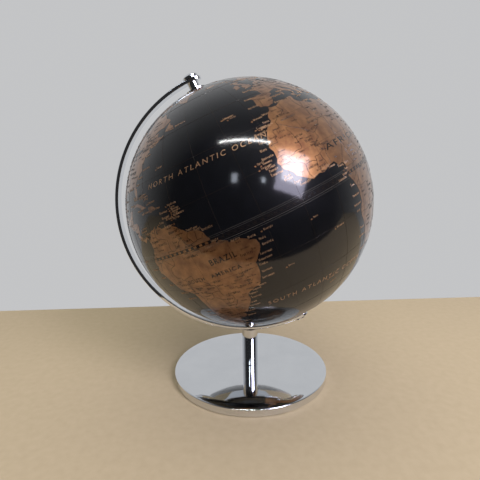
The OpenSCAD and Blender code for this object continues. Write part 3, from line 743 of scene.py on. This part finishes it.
# %% Print the inland waters
WATERS = """
47,45.5 49,46.3 52,46.8 53,45.2 51,44.5 51.2,43 53.8,41.8 53.8,37.3 51,36.8 49,38 49.8,40.3 47.8,42.6|
58.5,44 59.5,46.3 61.5,46.5 60.8,44.2|31.8,-0.2 34,0.2 34,-1 33,-2.4 31.8,-1.8|29.2,-3.5 29.3,-6 30.5,-8.7
31,-8.3 30.1,-6|34,-9.6 34.2,-12 34.6,-14.2 35.3,-14 34.8,-11.5|-92,46.8 -89,48.2 -86,48.7 -84.8,46.8
-88,46.8|-87.9,42 -86.3,42
-85.2,45.8 -87.6,45|-84,45.8 -80.5,45.8 -81.6,43.3 -83.5,43.9|-83.3,41.7 -79,42.9 -80,42.1|-79.6,43.4 -76.3,44
-76.5,43.4|-98.5,53.5 -97,51 -96.6,53|-116,61.3 -110,62.8 -111,61.3|-125,65.5 -119,66.6 -120,65.2|
103.8,51.5 108,53.2 109.8,55.7 108.5,53|30,61 31,61.7 32.9,60.6 31.5,59.9|34.5,61.6 36,62.3 36.3,61|
13.5,13.2 14.6,13.8 14.7,12.8|-71.9,9.2 -71.3,10.9 -71.1,9.2|-69.9,-15.5 -69.3,-15.4 -68.7,-16.4 -69.3,-16.5|
74,45.3 78,46.6 77.5,46.2|-86,11.8 -85,11.3 -85.4,12"""
waters = flat_sheet([read(text) for text in WATERS.split("|")])
wrap(waters)
raise_ink(waters, "inland_water_print", WATER_TOP, SEA_INK)

# %% [markdown]
# ## Borders, graticule and equator
# The second pass of the press lays down fine lines: borders, a faint net of
# meridians and parallels, and an equator of blocks between two rails. Each line
# is a chain of points on
# the ball, extruded sideways into a ribbon by an operator, and then given
# its ink thickness like the land.

# %% Ribbon helper
def ribbon(bm, points, width_mm, step=1.5):
    """Adds one line of even width to bm, lying at INK_FLOOR, through points of longitude and latitude."""
    places = []
    for (x0, y0), (x1, y1) in zip(points, points[1:]):
        parts = max(1, math.ceil(math.dist((x0, y0), (x1, y1)) / step))
        places += [(x0 + (x1 - x0) * k / parts, y0 + (y1 - y0) * k / parts) for k in range(parts)]
    places.append(points[-1])
    spots = [on_ball(lon, lat, INK_FLOOR) for lon, lat in places]
    left = [bm.verts.new(s) for s in spots]
    chain = [bm.edges.new(pair) for pair in zip(left, left[1:])]
    made = bmesh.ops.extrude_edge_only(bm, edges=chain)["geom"]
    right = [g for g in made if isinstance(g, bmesh.types.BMVert)]
    pairs = {round_key(v.co): v for v in right}
    for i, (v, s) in enumerate(zip(left, spots)):
        ahead, behind = spots[min(i + 1, len(spots) - 1)], spots[max(i - 1, 0)]
        side = s.cross(ahead - behind).normalized() * (width_mm * MM / 2)
        other = pairs[round_key(s)]
        v.co, other.co = s + side, s - side


def round_key(co):
    return tuple(round(c / MM, 4) for c in co)


BORDERS = """
-71.5,11.8 -72.6,10.8 -73,9.2 -72.4,7.4 -70.1,7 -67.5,6.2 -67.8,2.8 -66.9,1.2 -69.8,1.5 -69.4,-1 -69.9,-4.2|
-69.9,-4.2 -72.9,-2.4 -75.2,-0.2 -77.5,0.4 -78.8,1.4|-75.2,-0.2 -75.6,-1.5 -78.3,-3.5 -79.2,-4.9 -80.3,-3.6|
-69.9,-4.2 -73,-5 -73.8,-7.3 -72.7,-9.5 -70.5,-9.5 -70.6,-11 -69.5,-10.9 -65.4,-9.8 -65.2,-12 -61.8,-13.5
-60.2,-15.1 -60,-16.3 -58.4,-16.3 -57.7,-18 -58.1,-20.2 -57.9,-22.1 -55.8,-22.3 -54.3,-24.1 -54.6,-25.6
-53.7,-26.5 -55,-27.6 -57.6,-30.2 -55.6,-30.9 -53.5,-33.6|-57.6,-30.2 -58.2,-33.4|
-69.5,-10.9 -68.8,-12.5 -69.2,-14.5 -69.5,-17.5 -70.3,-18.3|-58.1,-20.2 -59.1,-19.3 -61.8,-19.7 -62.6,-22.2
-64.4,-22.8 -66.2,-21.8 -67.2,-22.8|-69.5,-17.5 -68.2,-20 -67.9,-22.8 -68.5,-25 -69,-27.5 -70.2,-31 -70,-33.3
-71.2,-37 -71.7,-41 -71.7,-45 -72.5,-49 -72.2,-51.5 -68.6,-52.3|-54.6,-25.6 -56.5,-27.3 -58.6,-27.3 -57.6,-25.3
-60,-24 -62.6,-22.2|-60,8.3 -60.7,6.5 -61.3,5.9 -60.7,5.2 -62.8,3.7 -64,2 -66.9,1.2|-60.7,5.2 -59.8,2.3
-58.9,1.3 -56.5,1.9 -54.6,2.3 -52.6,2.2 -51.7,3.8|-57.2,5.9 -58,4 -56.5,1.9|-54,5.7 -54.5,3.5 -54.6,2.3|
-77.3,8.5 -77.9,7.4|-82.8,9.5 -82.9,8.2|-83.7,10.9 -85.7,11.2|-83.4,15 -86.5,13.8 -87.3,13|-89.3,14.4 -87.8,13.5|
-88.4,15.8 -89.3,14.4 -90,13.8|-92.2,14.6 -91.5,16.2 -91,17.8 -89.2,17.8 -88.5,18.4|-117.1,32.5 -114.8,32.6
-111,31.3 -108.2,31.4 -106.5,31.8 -103.2,29 -101,29.5 -99.2,26.6 -97.3,25.9|-123,49 -95.2,49 -89.5,48 -84.6,46.4|
-82.5,42.6 -82.4,45|-79,43.2 -76.3,44.2 -74.7,45 -71.5,45 -69.2,47.3 -67.8,45.7 -67.2,45|-141,69.5 -141,60.3
-136,59.2 -130,55.6|-71.7,19.7 -71.7,18|-2.2,35 -1.7,33 -1.2,32.2 -3.6,30.9 -8.7,28.7 -8.7,26 -12,26 -12,23.4
-13,23 -13.1,21.3 -17,21.3|-8.7,27.3 -4.8,25 -6.5,25 -5.5,16 -9.3,15.5 -12.2,14.8 -14,16.6 -16.4,16.2|
-4.8,25 1.2,21.1 3.2,19 4.2,19.1 11.9,23.5 9.9,24.8 9.5,26.3 9.8,29.4 9.5,30.2 8.4,32.7 8.6,36.8|9.5,30.2
11.5,33|25.1,31.5 25,22 36.8,22|11.9,23.5 15.9,23.4 24,19.5 24,20 25,20 25,22|24,19.5 24,15.7 22,13 22.9,11
19,9 15.5,7.5|15.9,23.4 15.6,20.5 13.5,14 13.5,13.7 8,13 4.1,13.5 3.6,11.7 2.4,12 0.2,15 4.2,16.5 4.2,19.1|
3.6,11.7 2.7,9 2.7,6.4|0,11.1 0.6,8.5 1.2,6.1|2.4,12 0,11.1 -2.8,11 -2.8,9.6 -3.1,5.1|-2.8,9.6 -5.5,10.4
-8,10.2 -11.4,12.4 -12.2,14.8|-7.5,4.5 -8.4,6.5 -8.3,7.6 -7.9,10.2|-11.4,7 -10.3,8.5 -13.2,9.2|-16.7,13.3
-13.8,13.4|-16.6,12.4 -13.7,12.6 -11.4,12.4|8.6,4.8 10.5,7 13,9.5 14.2,12.5 13.5,13.7|14.2,12.5 15.5,10
14.5,7.5 15,4.5 16.1,2.2 13.3,2.2 9.9,2.3|16.1,2.2 14,1.4 14.4,-1.5 11.7,-3.5|16.1,2.2 18.6,4.4 22.5,4.1
27.4,5.1 24.2,8.7 22.9,11|18.6,4.4 17.9,0.5 16.2,-2.2 15.3,-4.3 12.4,-5.9 16.8,-7.2 21.8,-7.3 22,-11.1
24,-10.9 24,-13 22,-13 22,-16.2 23.4,-17.6 18.5,-17.4 11.9,-17.3|23.4,-17.6 21,-18.3 21,-22 20,-22 20,-28.4
16.6,-28.6|20,-24.8 22.8,-25.5 25.6,-25.6 29.4,-22.2 25.3,-17.8 23.4,-17.6|25.3,-17.8 27,-17.9 30.4,-15.6
32.9,-16.7 33,-19 31.3,-22.4 29.4,-22.2|31.3,-22.4 32,-26.8 32.8,-26.8|24,-10.9 27.2,-12 29.8,-13.3 28.5,-10
28.6,-8.5 30.8,-8.3 33,-9.4 32.9,-14 34.5,-14.5 35.3,-17|34.6,-11.6 37.8,-11.5 40.4,-10.5|30.8,-8.3 29.4,-6
29.2,-3 29.6,-1.4 30.9,3.5 27.4,5.1|30.9,3.5 34,4.2 35.9,4.6 39.5,3.5 41.9,4 45,5 48,8 43,10|29.6,-1.4 33.9,-1
37.6,-3 39.2,-4.7|33.9,-1 34,4.2|35.9,4.6 33,7.9 34.3,10.6 36.4,14.3 38.5,18|36.4,14.3 40,14.5 42.4,12.5|
41.9,4 41,1 41.5,-1.6|-8.8,41.9 -6.5,41.8 -7,39 -7.4,37.3|-1.8,43.3 3.1,42.4|7.5,43.9 7,46 7.6,47.6 8.2,49
6.2,49.5 2.6,51|6.2,49.5 6,51 7,53.2|14.2,53.8 14.7,51 12.5,50.3 13.8,48.7 17,48.5 22.6,49.1 23.7,51.6
23.5,53.9 19.6,54.4|7,46 10.5,46.8 13.7,46.5 13.6,45.8|14.8,50.9 18.9,49.5|28.1,60.5 31.5,62.9 29,66 30,69.5|
11.4,59 12.2,62 14.2,65 18,68.5 20.5,69.1 25,68.6 28.9,69.4|24.1,65.8 23.6,67.9 20.5,69.1|38.2,47.1 40,49.6
35.4,50.4 33.8,52.3 31,54 28,56.1 27.4,59.3|23.7,51.6 30.5,51.4 33.8,52.3|29.6,45.3 28.2,48 22.8,48 21,46.1
22.7,44.2 28.5,43.7|21,46.1 16.5,46.5 13.7,46.5|22.7,44.2 22.8,41.3 26.3,41.6|22.8,41.3 20.2,39.7|36,36
42.4,37.1 44.8,37.2 44.8,39.7 41.5,41.5|44.8,37.2 46,35 48,30.5|34.9,29.5 39,32 42,31 46.5,29.1 48.3,28.5|
36,33 39,33.5 42.4,37.1|42.8,16.4 48,18.5 52,19 53.1,16.8|52,19 55,20 55.2,22.7 51.6,24.2|61.6,25.3 61,30
60.8,34.5 61.1,36.6 53.9,37.3|61.1,36.6 66.5,37.4 71.5,37 74.9,37.2 70,33 66.3,30 61,30|68.2,23.8 70,28
74,31 74,34 77.8,35.5 78.7,31.5 81,30.2 88,27.9 92,27.8 97.4,28.3 98.7,25.8 101.2,21.5 105.3,23.3 107.9,21.6|
81,30.2 80.2,28.8 88,26.4 88,27.9|88.1,21.8 88.6,24.5 89.8,26 92,25 92.3,21|97.4,28.3 94.5,24 92.5,21|
47.5,46.5 47,48 51,51.7 60,51 61,54 71,54.2 76.5,54.2 87.3,49.1 82.5,45.2 80.2,42.2 74.9,37.2|80.2,42.2 71,42
66,43 61,41.2 56,41.3 53,42|87.8,49.2 91,45.2 97,42.7 105,41.6 111,43.5 116,46.5 119.9,46.7 116,49.8 108,49.4
102,51.3 98,50.3 87.8,49.2|116,49.8 120,53.2 127,50 131,47.8 134.8,48.4 131,44.9 130.6,42.4 124.5,40.1|
101.2,21.5 98,19.5 98.5,15 99.3,11|102.1,22.4 104,20.4 105.8,16 107.6,12.5 104.6,10.5|100.2,20.3 102,18
105,17 105.5,14.4 102.4,13.5 102.9,11.8|100.2,6.5 102,6.2|126.8,37.8 128.3,38.5|109.6,1.9 112,1.4 115,3
117.6,4.1|141,-2.8 141,-9"""
print("border lines:", BORDERS.count("|") + 1)

# %% Print borders, graticule and equator
lines = bmesh.new()
for text in BORDERS.split("|"):
    ribbon(lines, wobble(read(text), False, 1.0, 0.11), 0.24)
raise_ink(lines, "border_line_print", LINE_TOP, LINE_INK)

# A dull copper that is only just lighter than the sea, and darker than the land.
NET_INK = varnished("faint_net_ink", "#241A12", "#31241A", 0.4, 0.5, 2.0)
net = bmesh.new()
for lat in range(-75, 90, 15):
    if lat:
        ribbon(net, [(lon, lat) for lon in range(-180, 181, 2)], 0.11, 2.5)
for lon in range(-180, 180, 15):
    ribbon(net, [(lon, lat) for lat in range(-84, 85, 2)], 0.11, 2.5)
raise_ink(net, "graticule_print", LINE_TOP - 0.005 * MM, NET_INK)

EQUATOR_LAND = [(-80.5, -50.5), (9.2, 43.2), (99.5, 103.9), (109, 117.8), (119.8, 120.3)]
BAR = 1.25
land_bars, sea_bars = bmesh.new(), bmesh.new()
for k in range(int(360 / BAR)):
    west = -180 + BAR * k
    dry = any(a < west + BAR / 2 < b for a, b in EQUATOR_LAND)
    for rail in (-0.52, 0.52):
        ribbon(land_bars if dry else sea_bars, [(west, rail), (west + BAR, rail)], 0.34 if dry else 0.14)
    if k % 2 and dry:
        ribbon(land_bars, [(west, 0), (west + BAR, 0)], 1.6)
    elif k % 2:
        ribbon(sea_bars, [(west, 0), (west + BAR, 0)], 0.3)
raise_ink(land_bars, "equator_land_print", NAME_TOP, LINE_INK)
raise_ink(sea_bars, "equator_sea_print", NAME_TOP, NET_INK)

# %% [markdown]
# ## The joint of the halves
# A clear tape runs over the joint. It is too thin to hide it. Its two edges and a few fine
# ridges just off the equator catch the light, and that light is painted: thin lines of light grey ink are painted
# highlights.

# %% Print the painted highlights of the joint tape's edges and ridges
# Light grey ink laid where the clear tape's edges and ridges catch the light: a painted highlight, not a colour of
# the tape.
TAPE_HIGHLIGHT_INK = varnished("painted_tape_highlight", "#4B4640", "#6A645B", 0.2, 0.3, 2.0)
tape = bmesh.new()
for lat, width in ((-1.9, 0.1), (-1.2, 0.16), (1.15, 0.1), (1.75, 0.12)):
    ribbon(tape, [(lon, lat) for lon in range(-180, 181, 2)], width, 2.5)
raise_ink(tape, "painted_joint_tape_highlights", NAME_TOP, TAPE_HIGHLIGHT_INK)

# %% [markdown]
# ## Names
# A school globe carries the plain names of oceans and continents, in widely
# spaced sloping capitals. A text object is made a mesh, its letters stand on a
# parallel, and the same wrap bends them round the ball. Small place names can't
# be read at this size, so they are rows of made-up letters and not words.

# %% Letter helper
def name_sheet(bm, words, west, east, lat, height_mm, slope=0.25, lean=0.0, gap=1.4, bold=0.0):
    """Stands words on a parallel between two longitudes. lean lifts the east end, in degrees."""
    text = bpy.data.curves.new("words", "FONT")
    text.body = words
    text.shear = slope
    text.space_character = gap
    text.offset = bold
    holder = bpy.data.objects.new("words", text)
    bpy.context.scene.collection.objects.link(holder)
    bpy.context.view_layer.update()
    letters = bpy.data.meshes.new_from_object(holder.evaluated_get(bpy.context.evaluated_depsgraph_get()))
    bpy.data.objects.remove(holder)
    part = bmesh.new()
    part.from_mesh(letters)
    bpy.data.meshes.remove(letters)
    bmesh.ops.triangulate(part, faces=part.faces[:])
    xs = [v.co.x for v in part.verts]
    tall = max(v.co.y for v in part.verts)
    for v in part.verts:
        along = (v.co.x - min(xs)) / (max(xs) - min(xs))
        up = v.co.y / tall * math.degrees(height_mm * MM / BALL_R)
        v.co = on_ball(west + (east - west) * along, lat + lean * along + up, INK_FLOOR)
    append(bm, part)


# %% Print the names
sea_names = bmesh.new()
for words, west, east, lat, height, lean in (
        ("NORTH ATLANTIC OCEAN", -70.6, -15, 26.2, 3.4, -1.2), ("SOUTH ATLANTIC OCEAN", -43.4, 12, -35.2, 3.4, -2.4),
        ("NORTH PACIFIC OCEAN", -172, -128, 28, 3.4, 0), ("SOUTH PACIFIC OCEAN", -140, -92, -28, 3.4, 0),
        ("INDIAN OCEAN", 62, 98, -22, 3.6, 0), ("ARCTIC OCEAN", -30, 60, 83, 2.0, 0),
        ("SOUTHERN OCEAN", 20, 90, -60, 3.0, 0), ("PACIFIC OCEAN", 150, 178, 18, 3.0, 0)):
    name_sheet(sea_names, words, west, east, lat, height, lean=lean, bold=-0.01)
raise_ink(sea_names, "ocean_name_print", NAME_TOP, NAME_INK)
land_names = bmesh.new()
for words, west, east, lat, height, lean in (
        ("BRAZIL", -54.6, -43.8, -8.4, 3.9, 0), ("SOUTH", -68.5, -60.5, -13.2, 2.7, 0),
        ("AMERICA", -57.2, -44.2, -13.2, 2.7, 0),
        ("AFRICA", 4, 32, 11, 4.0, 0), ("NORTH AMERICA", -118, -78, 44, 3.4, 0), ("EUROPE", 8, 44, 50.5, 3.4, 0),
        ("ASIA", 64, 110, 46, 4.4, 0), ("AUSTRALIA", 118, 148, -26, 4.0, 0), ("ANTARCTICA", 20, 110, -75, 3.4, 0)):
    name_sheet(land_names, words, west, east, lat, height, slope=0.0, lean=lean, gap=1.25,
               bold=0.018 if words == "BRAZIL" else 0.01)
raise_ink(land_names, "land_name_print", NAME_TOP, LINE_INK)

# %% Small place labels in made-up letters
label_dice = random.Random(7)


# Made-up letter shapes. Each stroke is left, bottom, right, top, as shares of the letter's box.
GLYPHS = (
    ((0, 0, 0.3, 1.4),),
    ((0, 0, 0.26, 1), (0.74, 0, 1, 0.9), (0.26, 0.78, 0.74, 1)),
    ((0, 0.1, 0.26, 1), (0.74, 0, 1, 1), (0.26, 0, 0.74, 0.22)),
    ((0, 0.1, 0.26, 0.9), (0.1, 0.8, 0.9, 1), (0.26, 0.4, 0.8, 0.58), (0.1, 0, 0.9, 0.2)),
    ((0, 0, 0.26, 1), (0.26, 0.75, 0.8, 1)))


def label(bm, lon, lat, letters, tall_mm=0.9):
    """A very small word of made-up letters, which starts at lon and stands on lat."""
    degree = math.degrees(MM / BALL_R)
    stretch = degree / max(0.2, math.cos(math.radians(lat)))
    for place in range(letters):
        wide = tall_mm * label_dice.uniform(0.5, 0.72)
        tall = tall_mm * (1.45 if place == 0 else 1.0)
        for left, low, right, high in label_dice.choice(GLYPHS):
            corners = ((left, low), (right, low), (right, high), (left, high))
            bm.faces.new([bm.verts.new((lon + x * wide * stretch, lat + y * tall * degree, 0)) for x, y in corners])
        lon += (wide + 0.24 * tall_mm) * stretch


COAST_PLACES = read("""
-17.4,14.7 -16.6,13.4 -15.6,11.8 -13.7,9.5 -13.2,8.5 -10.8,6.3 -7.5,4.8 -4,5.3 -0.2,5.5 2.4,6.3 3.4,6.4
9.7,4 9.5,0.4 8.8,-0.7 11.9,-4.8 13.2,-8.8 13.5,-12.5 12.2,-15.2 14.5,-22.9 15.2,-26.6 18.4,-33.9 25.6,-34
-7.6,33.6 -9.6,30.4 -13.2,27.1 -15.9,23.7 -17,21 -16,18.1 -9.1,38.7 -8.4,43.4 -4.5,48.4 -38.5,-3.7 -35.2,-5.8
-34.9,-8 -37,-11 -38.5,-13 -39,-14.8 -39.3,-17.7 -40.3,-20.3 -43.2,-22.9 -46.3,-24 -48.5,-25.5 -48.6,-27.6
-51,-30 -52.1,-32 -56.2,-34.9 -57.6,-38 -62.2,-38.8 -65,-42.7 -67.5,-45.9 -69,-51.6 -44.3,-2.5 -48.5,-1.4
-51,0.1 -52.3,5 -55.2,5.9 -58.2,6.8 -61.5,10.6 -66.9,10.6 -71.6,10.7 -75.5,10.4 -79.9,9.3 -83,12 -88,15.8
-82.4,23.1 -75.8,20 -72.3,18.5 -66.1,18.5 -61.5,16 -60.9,14 -59.6,13.1 -77.3,25 -80.2,25.8 -81.4,30.3
-79.9,32.8 -75.5,35.2 -74,40.6 -70.3,43.7 -63.6,44.7 -52.7,47.6 -97.2,26 -90,29.9 -97,22.3 -105.2,20.6
-99.9,16.9 -110,24.1 -117.1,32.7 -122.4,37.8 -124,46.2 -123.1,49.3 -81,-4.1 -79,-8.1 -77,-12 -72.1,-16.7
-70.3,-20.2 -71.4,-29.9 -71.6,-33 -73.1,-39.8 55.3,25.3 72.8,19 80.3,13.1 88.3,22 96.2,16.8 103.8,1.3 106.8,-6.1
114.2,22.3 121.5,31.2 139.7,35.6 130.4,33.6 131.9,43.1 151.2,-33.9 153,-27.5 145,-38 138.6,-35 115.9,-32
39.7,-4 39.3,-6.8 40.7,-15 31,-29.9 49.4,-18.1 32.5,31.2 13.2,32.9 3,36.8 45,12.8 43.1,11.6 51,12
29,41 23.7,37.9 12.5,41.9 10.7,59.9 5.3,60.4 24.9,60.2 -21.9,64.1 -51.7,64.2 -14,64.5 33,68.9 40.5,64.5""")
INLAND_PLACES = read("""
-63,-3 -60,-3.1 -67.8,-10 -63.9,-8.8 -56.1,-15.6 -47.9,-15.8 -49.3,-16.7 -54.6,-20.5 -46.6,-21 -51,-23
-43.9,-19.9 -57.6,-25.3 -63.2,-17.8 -68.1,-16.5 -65.3,-19 -64.2,-31.4 -58.5,-29 -68.8,-32.9 -65,-36
-69,-39 -70,-47 -74.1,4.6 -75.6,6.2 -66,7.6 -63.5,8.1 -78.5,-0.2 -72,-13.5 -55,-3 -60,-7 -52,-5.5 -42.8,-5.1
-41,-9.4 -45,-12.1 -51,-11 -57,-12 -65,2 -60.7,2.8 -8,12.6 -3,16.8 0,14 -6,8 -1.6,6.7 2.1,13.5 8.5,12 7.4,9.1
15,12.1 20,8 18.6,4.4 25.2,0.5 21,-3 23.4,-10 28.3,-15.4 31,-17.8 28,-26.2 24.7,-28.7 17,-22.6 20,-19 16,-10
5.5,22.8 -1,28 -5,30 0,20 -8,20 -10,24 12,27 18,22 24,26 30,20 32.5,15.6 27,13 30.2,7 38.7,9 36.8,-1.3 35.7,-6.2
32.6,0.3 39,-12 35,-15 -99,19.4 -103,25 -107,28 -95,32 -101,35 -105,39.7 -112,33.4 -115,38 -112,43 -104,44
-97,41 -94,45 -87.6,41.9 -84.4,33.7 -86.8,36.2 -90,38.6 -79.4,43.7 -75.7,45.4 -71.2,46.8 -97,49.9 -106,52
-113.5,53.5 -120,55 -110,60 -125,62 -135,64 -148,64.8 -100,58 -78,50 -70,54 -3.7,40.4 2.3,48.9 13.4,52.5
21,52.2 30.5,50.4 37.6,55.7 27.6,53.9 16.4,48.2 26,44.4 33,40 44,56.3 50,53.2 60.6,56.8 73.4,55 83,55 92.9,56
104.3,52.3 113,52 129,62 140,64 152,65 88,66 68,62 51.4,35.7 46.7,24.6 44.4,33.3 69.2,34.5 71.5,51.2 77,43.3
69.3,41.3 77.2,28.6 78.5,17.4 75,22 85,25.6 91,29.7 87.6,43.8 103.8,36 104,30.6 108.9,34.3 116.4,39.9 113,28
106.9,47.9 123.4,45 126,53 100.5,15 105,15 133.9,-23.7 121,-27 145,-22 125,-20 147,-32 142,-5.5 113.5,-0.5""")
copper_labels, brown_labels = bmesh.new(), bmesh.new()
shores = [read(text) for text in LAND.values()]


def on_land(lon, lat):
    """True where a line drawn east from the spot crosses a coast an odd number of times."""
    hits = 0
    for points in shores:
        for (x0, y0), (x1, y1) in zip(points, points[1:] + points[:1]):
            if (y0 > lat) != (y1 > lat) and lon < x0 + (lat - y0) * (x1 - x0) / (y1 - y0):
                hits += 1
    return hits % 2 == 1


# Boxes around the names on land, as west, east, south and north, which labels keep out of.
KEEP_CLEAR = ((-70, -43, -15, -4.5), (3, 33, 9, 15))
LETTER_DEG = 0.5
for lon, lat in COAST_PLACES:
    sea_is_west = on_land(lon + 2.5, lat) or not on_land(lon - 2.5, lat)
    count = label_dice.randint(5, 10)
    reach = 1.2 + LETTER_DEG * count
    label(copper_labels, lon - reach if sea_is_west else lon + 0.9, lat - 0.5, count, 1.05)
    if label_dice.random() < 0.6:
        count = label_dice.randint(4, 7)
        label(brown_labels, lon + 1.1 if sea_is_west else lon - 1.2 - LETTER_DEG * count, lat - 0.4, count, 0.8)
for lon, lat in INLAND_PLACES:
    for row in range(3):
        spot = lon + label_dice.uniform(-2.5, 1.5), lat + 1.9 * (row - 1)
        if any(west < spot[0] < east and south < spot[1] < north for west, east, south, north in KEEP_CLEAR):
            continue
        label(brown_labels, *spot, label_dice.randint(4, 9), 1.25 if row == 1 else 0.75)
for lon, lat in ISLETS:
    label(copper_labels, lon + 0.9, lat, label_dice.randint(5, 9), 0.9)
for bm, name, material in ((copper_labels, "coast_label_print", NAME_INK),
                           (brown_labels, "town_label_print", LINE_INK)):
    wrap(bm)
    raise_ink(bm, name, NAME_TOP - 0.005 * MM, material)

# %% [markdown]
# ## Floor, light and background
# A plain pale floor and a pale grey room. The floor ends a little in front of the
# globe, as a table does, so the ball mirrors it only low down. A big soft window
# to the front right makes the bright patch on the ball, and a thin tube overhead
# draws the fine curved line above it. Two fills light the room without being
# mirrored. The room is darker at the front, which lets black varnish look black.

# %% Floor
material, tree, surface, place = start("pale_paper_floor")
fibre = add(tree, "ShaderNodeTexNoise", {"Vector": place, "Scale": per(6), "Detail": 5.0})
tone = add(tree, "ShaderNodeMix", {0: fibre.outputs["Fac"], 6: ink("#AE9D7E"), 7: ink("#BBAA8B")}, data_type="RGBA")
paper = add(tree, "ShaderNodeBsdfPrincipled", {"Base Color": tone.outputs[2], "Roughness": 0.8})
tree.links.new(paper.outputs[0], surface)
FLOOR_BACK, FLOOR_FRONT, FLOOR_HALF = 0.177, -0.225, 1.6
tabletop = bmesh.new()
bmesh.ops.create_grid(tabletop, x_segments=8, y_segments=4, size=1.0)
for v in tabletop.verts:
    v.co = (v.co.x * FLOOR_HALF, FLOOR_FRONT + (v.co.y + 1) / 2 * (FLOOR_BACK - FLOOR_FRONT), 0)
floor_mesh = bpy.data.meshes.new("floor")
tabletop.to_mesh(floor_mesh)
tabletop.free()
floor_mesh.materials.append(material)
floor = bpy.data.objects.new("floor", floor_mesh)
bpy.context.scene.collection.objects.link(floor)
print("floor ready")


# %% Lights
def direction(azimuth, elevation):
    """Unit vector towards a lamp: azimuth from the front towards the right, in degrees."""
    a, e = math.radians(azimuth), math.radians(elevation)
    return Vector((math.sin(a) * math.cos(e), -math.cos(a) * math.cos(e), math.sin(e)))


def lamp(name, azimuth, elevation, distance, wide, tall, watts, colour, roll=0.0, mirrored=True):
    data = bpy.data.lights.new(name, "AREA")
    data.shape = "RECTANGLE"
    data.size, data.size_y = wide, tall
    data.energy = watts
    data.color = ink(colour)[:3]
    thing = bpy.data.objects.new(name, data)
    towards = direction(azimuth, elevation)
    turn = towards.to_track_quat("Z", "Y") @ Matrix.Rotation(math.radians(roll), 3, "Z").to_quaternion()
    thing.matrix_world = Matrix.Translation(CENTRE + towards * distance) @ turn.to_matrix().to_4x4()
    bpy.context.scene.collection.objects.link(thing)
    thing.visible_camera = False
    thing.visible_glossy = mirrored
    return thing


lamp("soft_window", 36, 28, 1.5, 0.66, 0.9, 13, "#E8E4FF", roll=-26)
lamp("window_core", 37, 30, 1.45, 0.42, 0.52, 8, "#F6F2FF", roll=-26)
lamp("overhead_tube", -8, 58, 1.3, 0.85, 0.02, 4, "#FFFFFF")
lamp("far_lamp_left", -15.8, 26.4, 1.6, 0.12, 0.2, 0.5, "#E8F0FF")
lamp("far_lamp_middle", 9.1, 24.4, 1.6, 0.07, 0.12, 0.25, "#E8F0FF")
lamp("ceiling_fill", 180, 75, 1.8, 2.2, 1.6, 13, "#FFFDF8", mirrored=False)
lamp("front_fill", 20, 40, 1.8, 1.4, 1.2, 9, "#FFFDF8", mirrored=False)

# %% Room
world = bpy.data.worlds.new("pale_room")
bpy.context.scene.world = world
world.use_nodes = True
tree = world.node_tree
tree.nodes.clear()
ray = add(tree, "ShaderNodeTexCoord")
split = add(tree, "ShaderNodeSeparateXYZ", {"Vector": ray.outputs["Generated"]})
level = add(tree, "ShaderNodeMapRange", {"Value": split.outputs["Y"], "From Min": -0.3, "From Max": 0.5,
                                         "To Min": 0.03, "To Max": 0.66})
seen = add(tree, "ShaderNodeLightPath")
wall = add(tree, "ShaderNodeMix", {0: seen.outputs["Is Camera Ray"], 2: level.outputs[0], 3: 0.63})
glow = add(tree, "ShaderNodeBackground", {"Color": ink("#F0F1F3"), "Strength": wall.outputs[0]})
room_out = add(tree, "ShaderNodeOutputWorld")
tree.links.new(glow.outputs[0], room_out.inputs["Surface"])
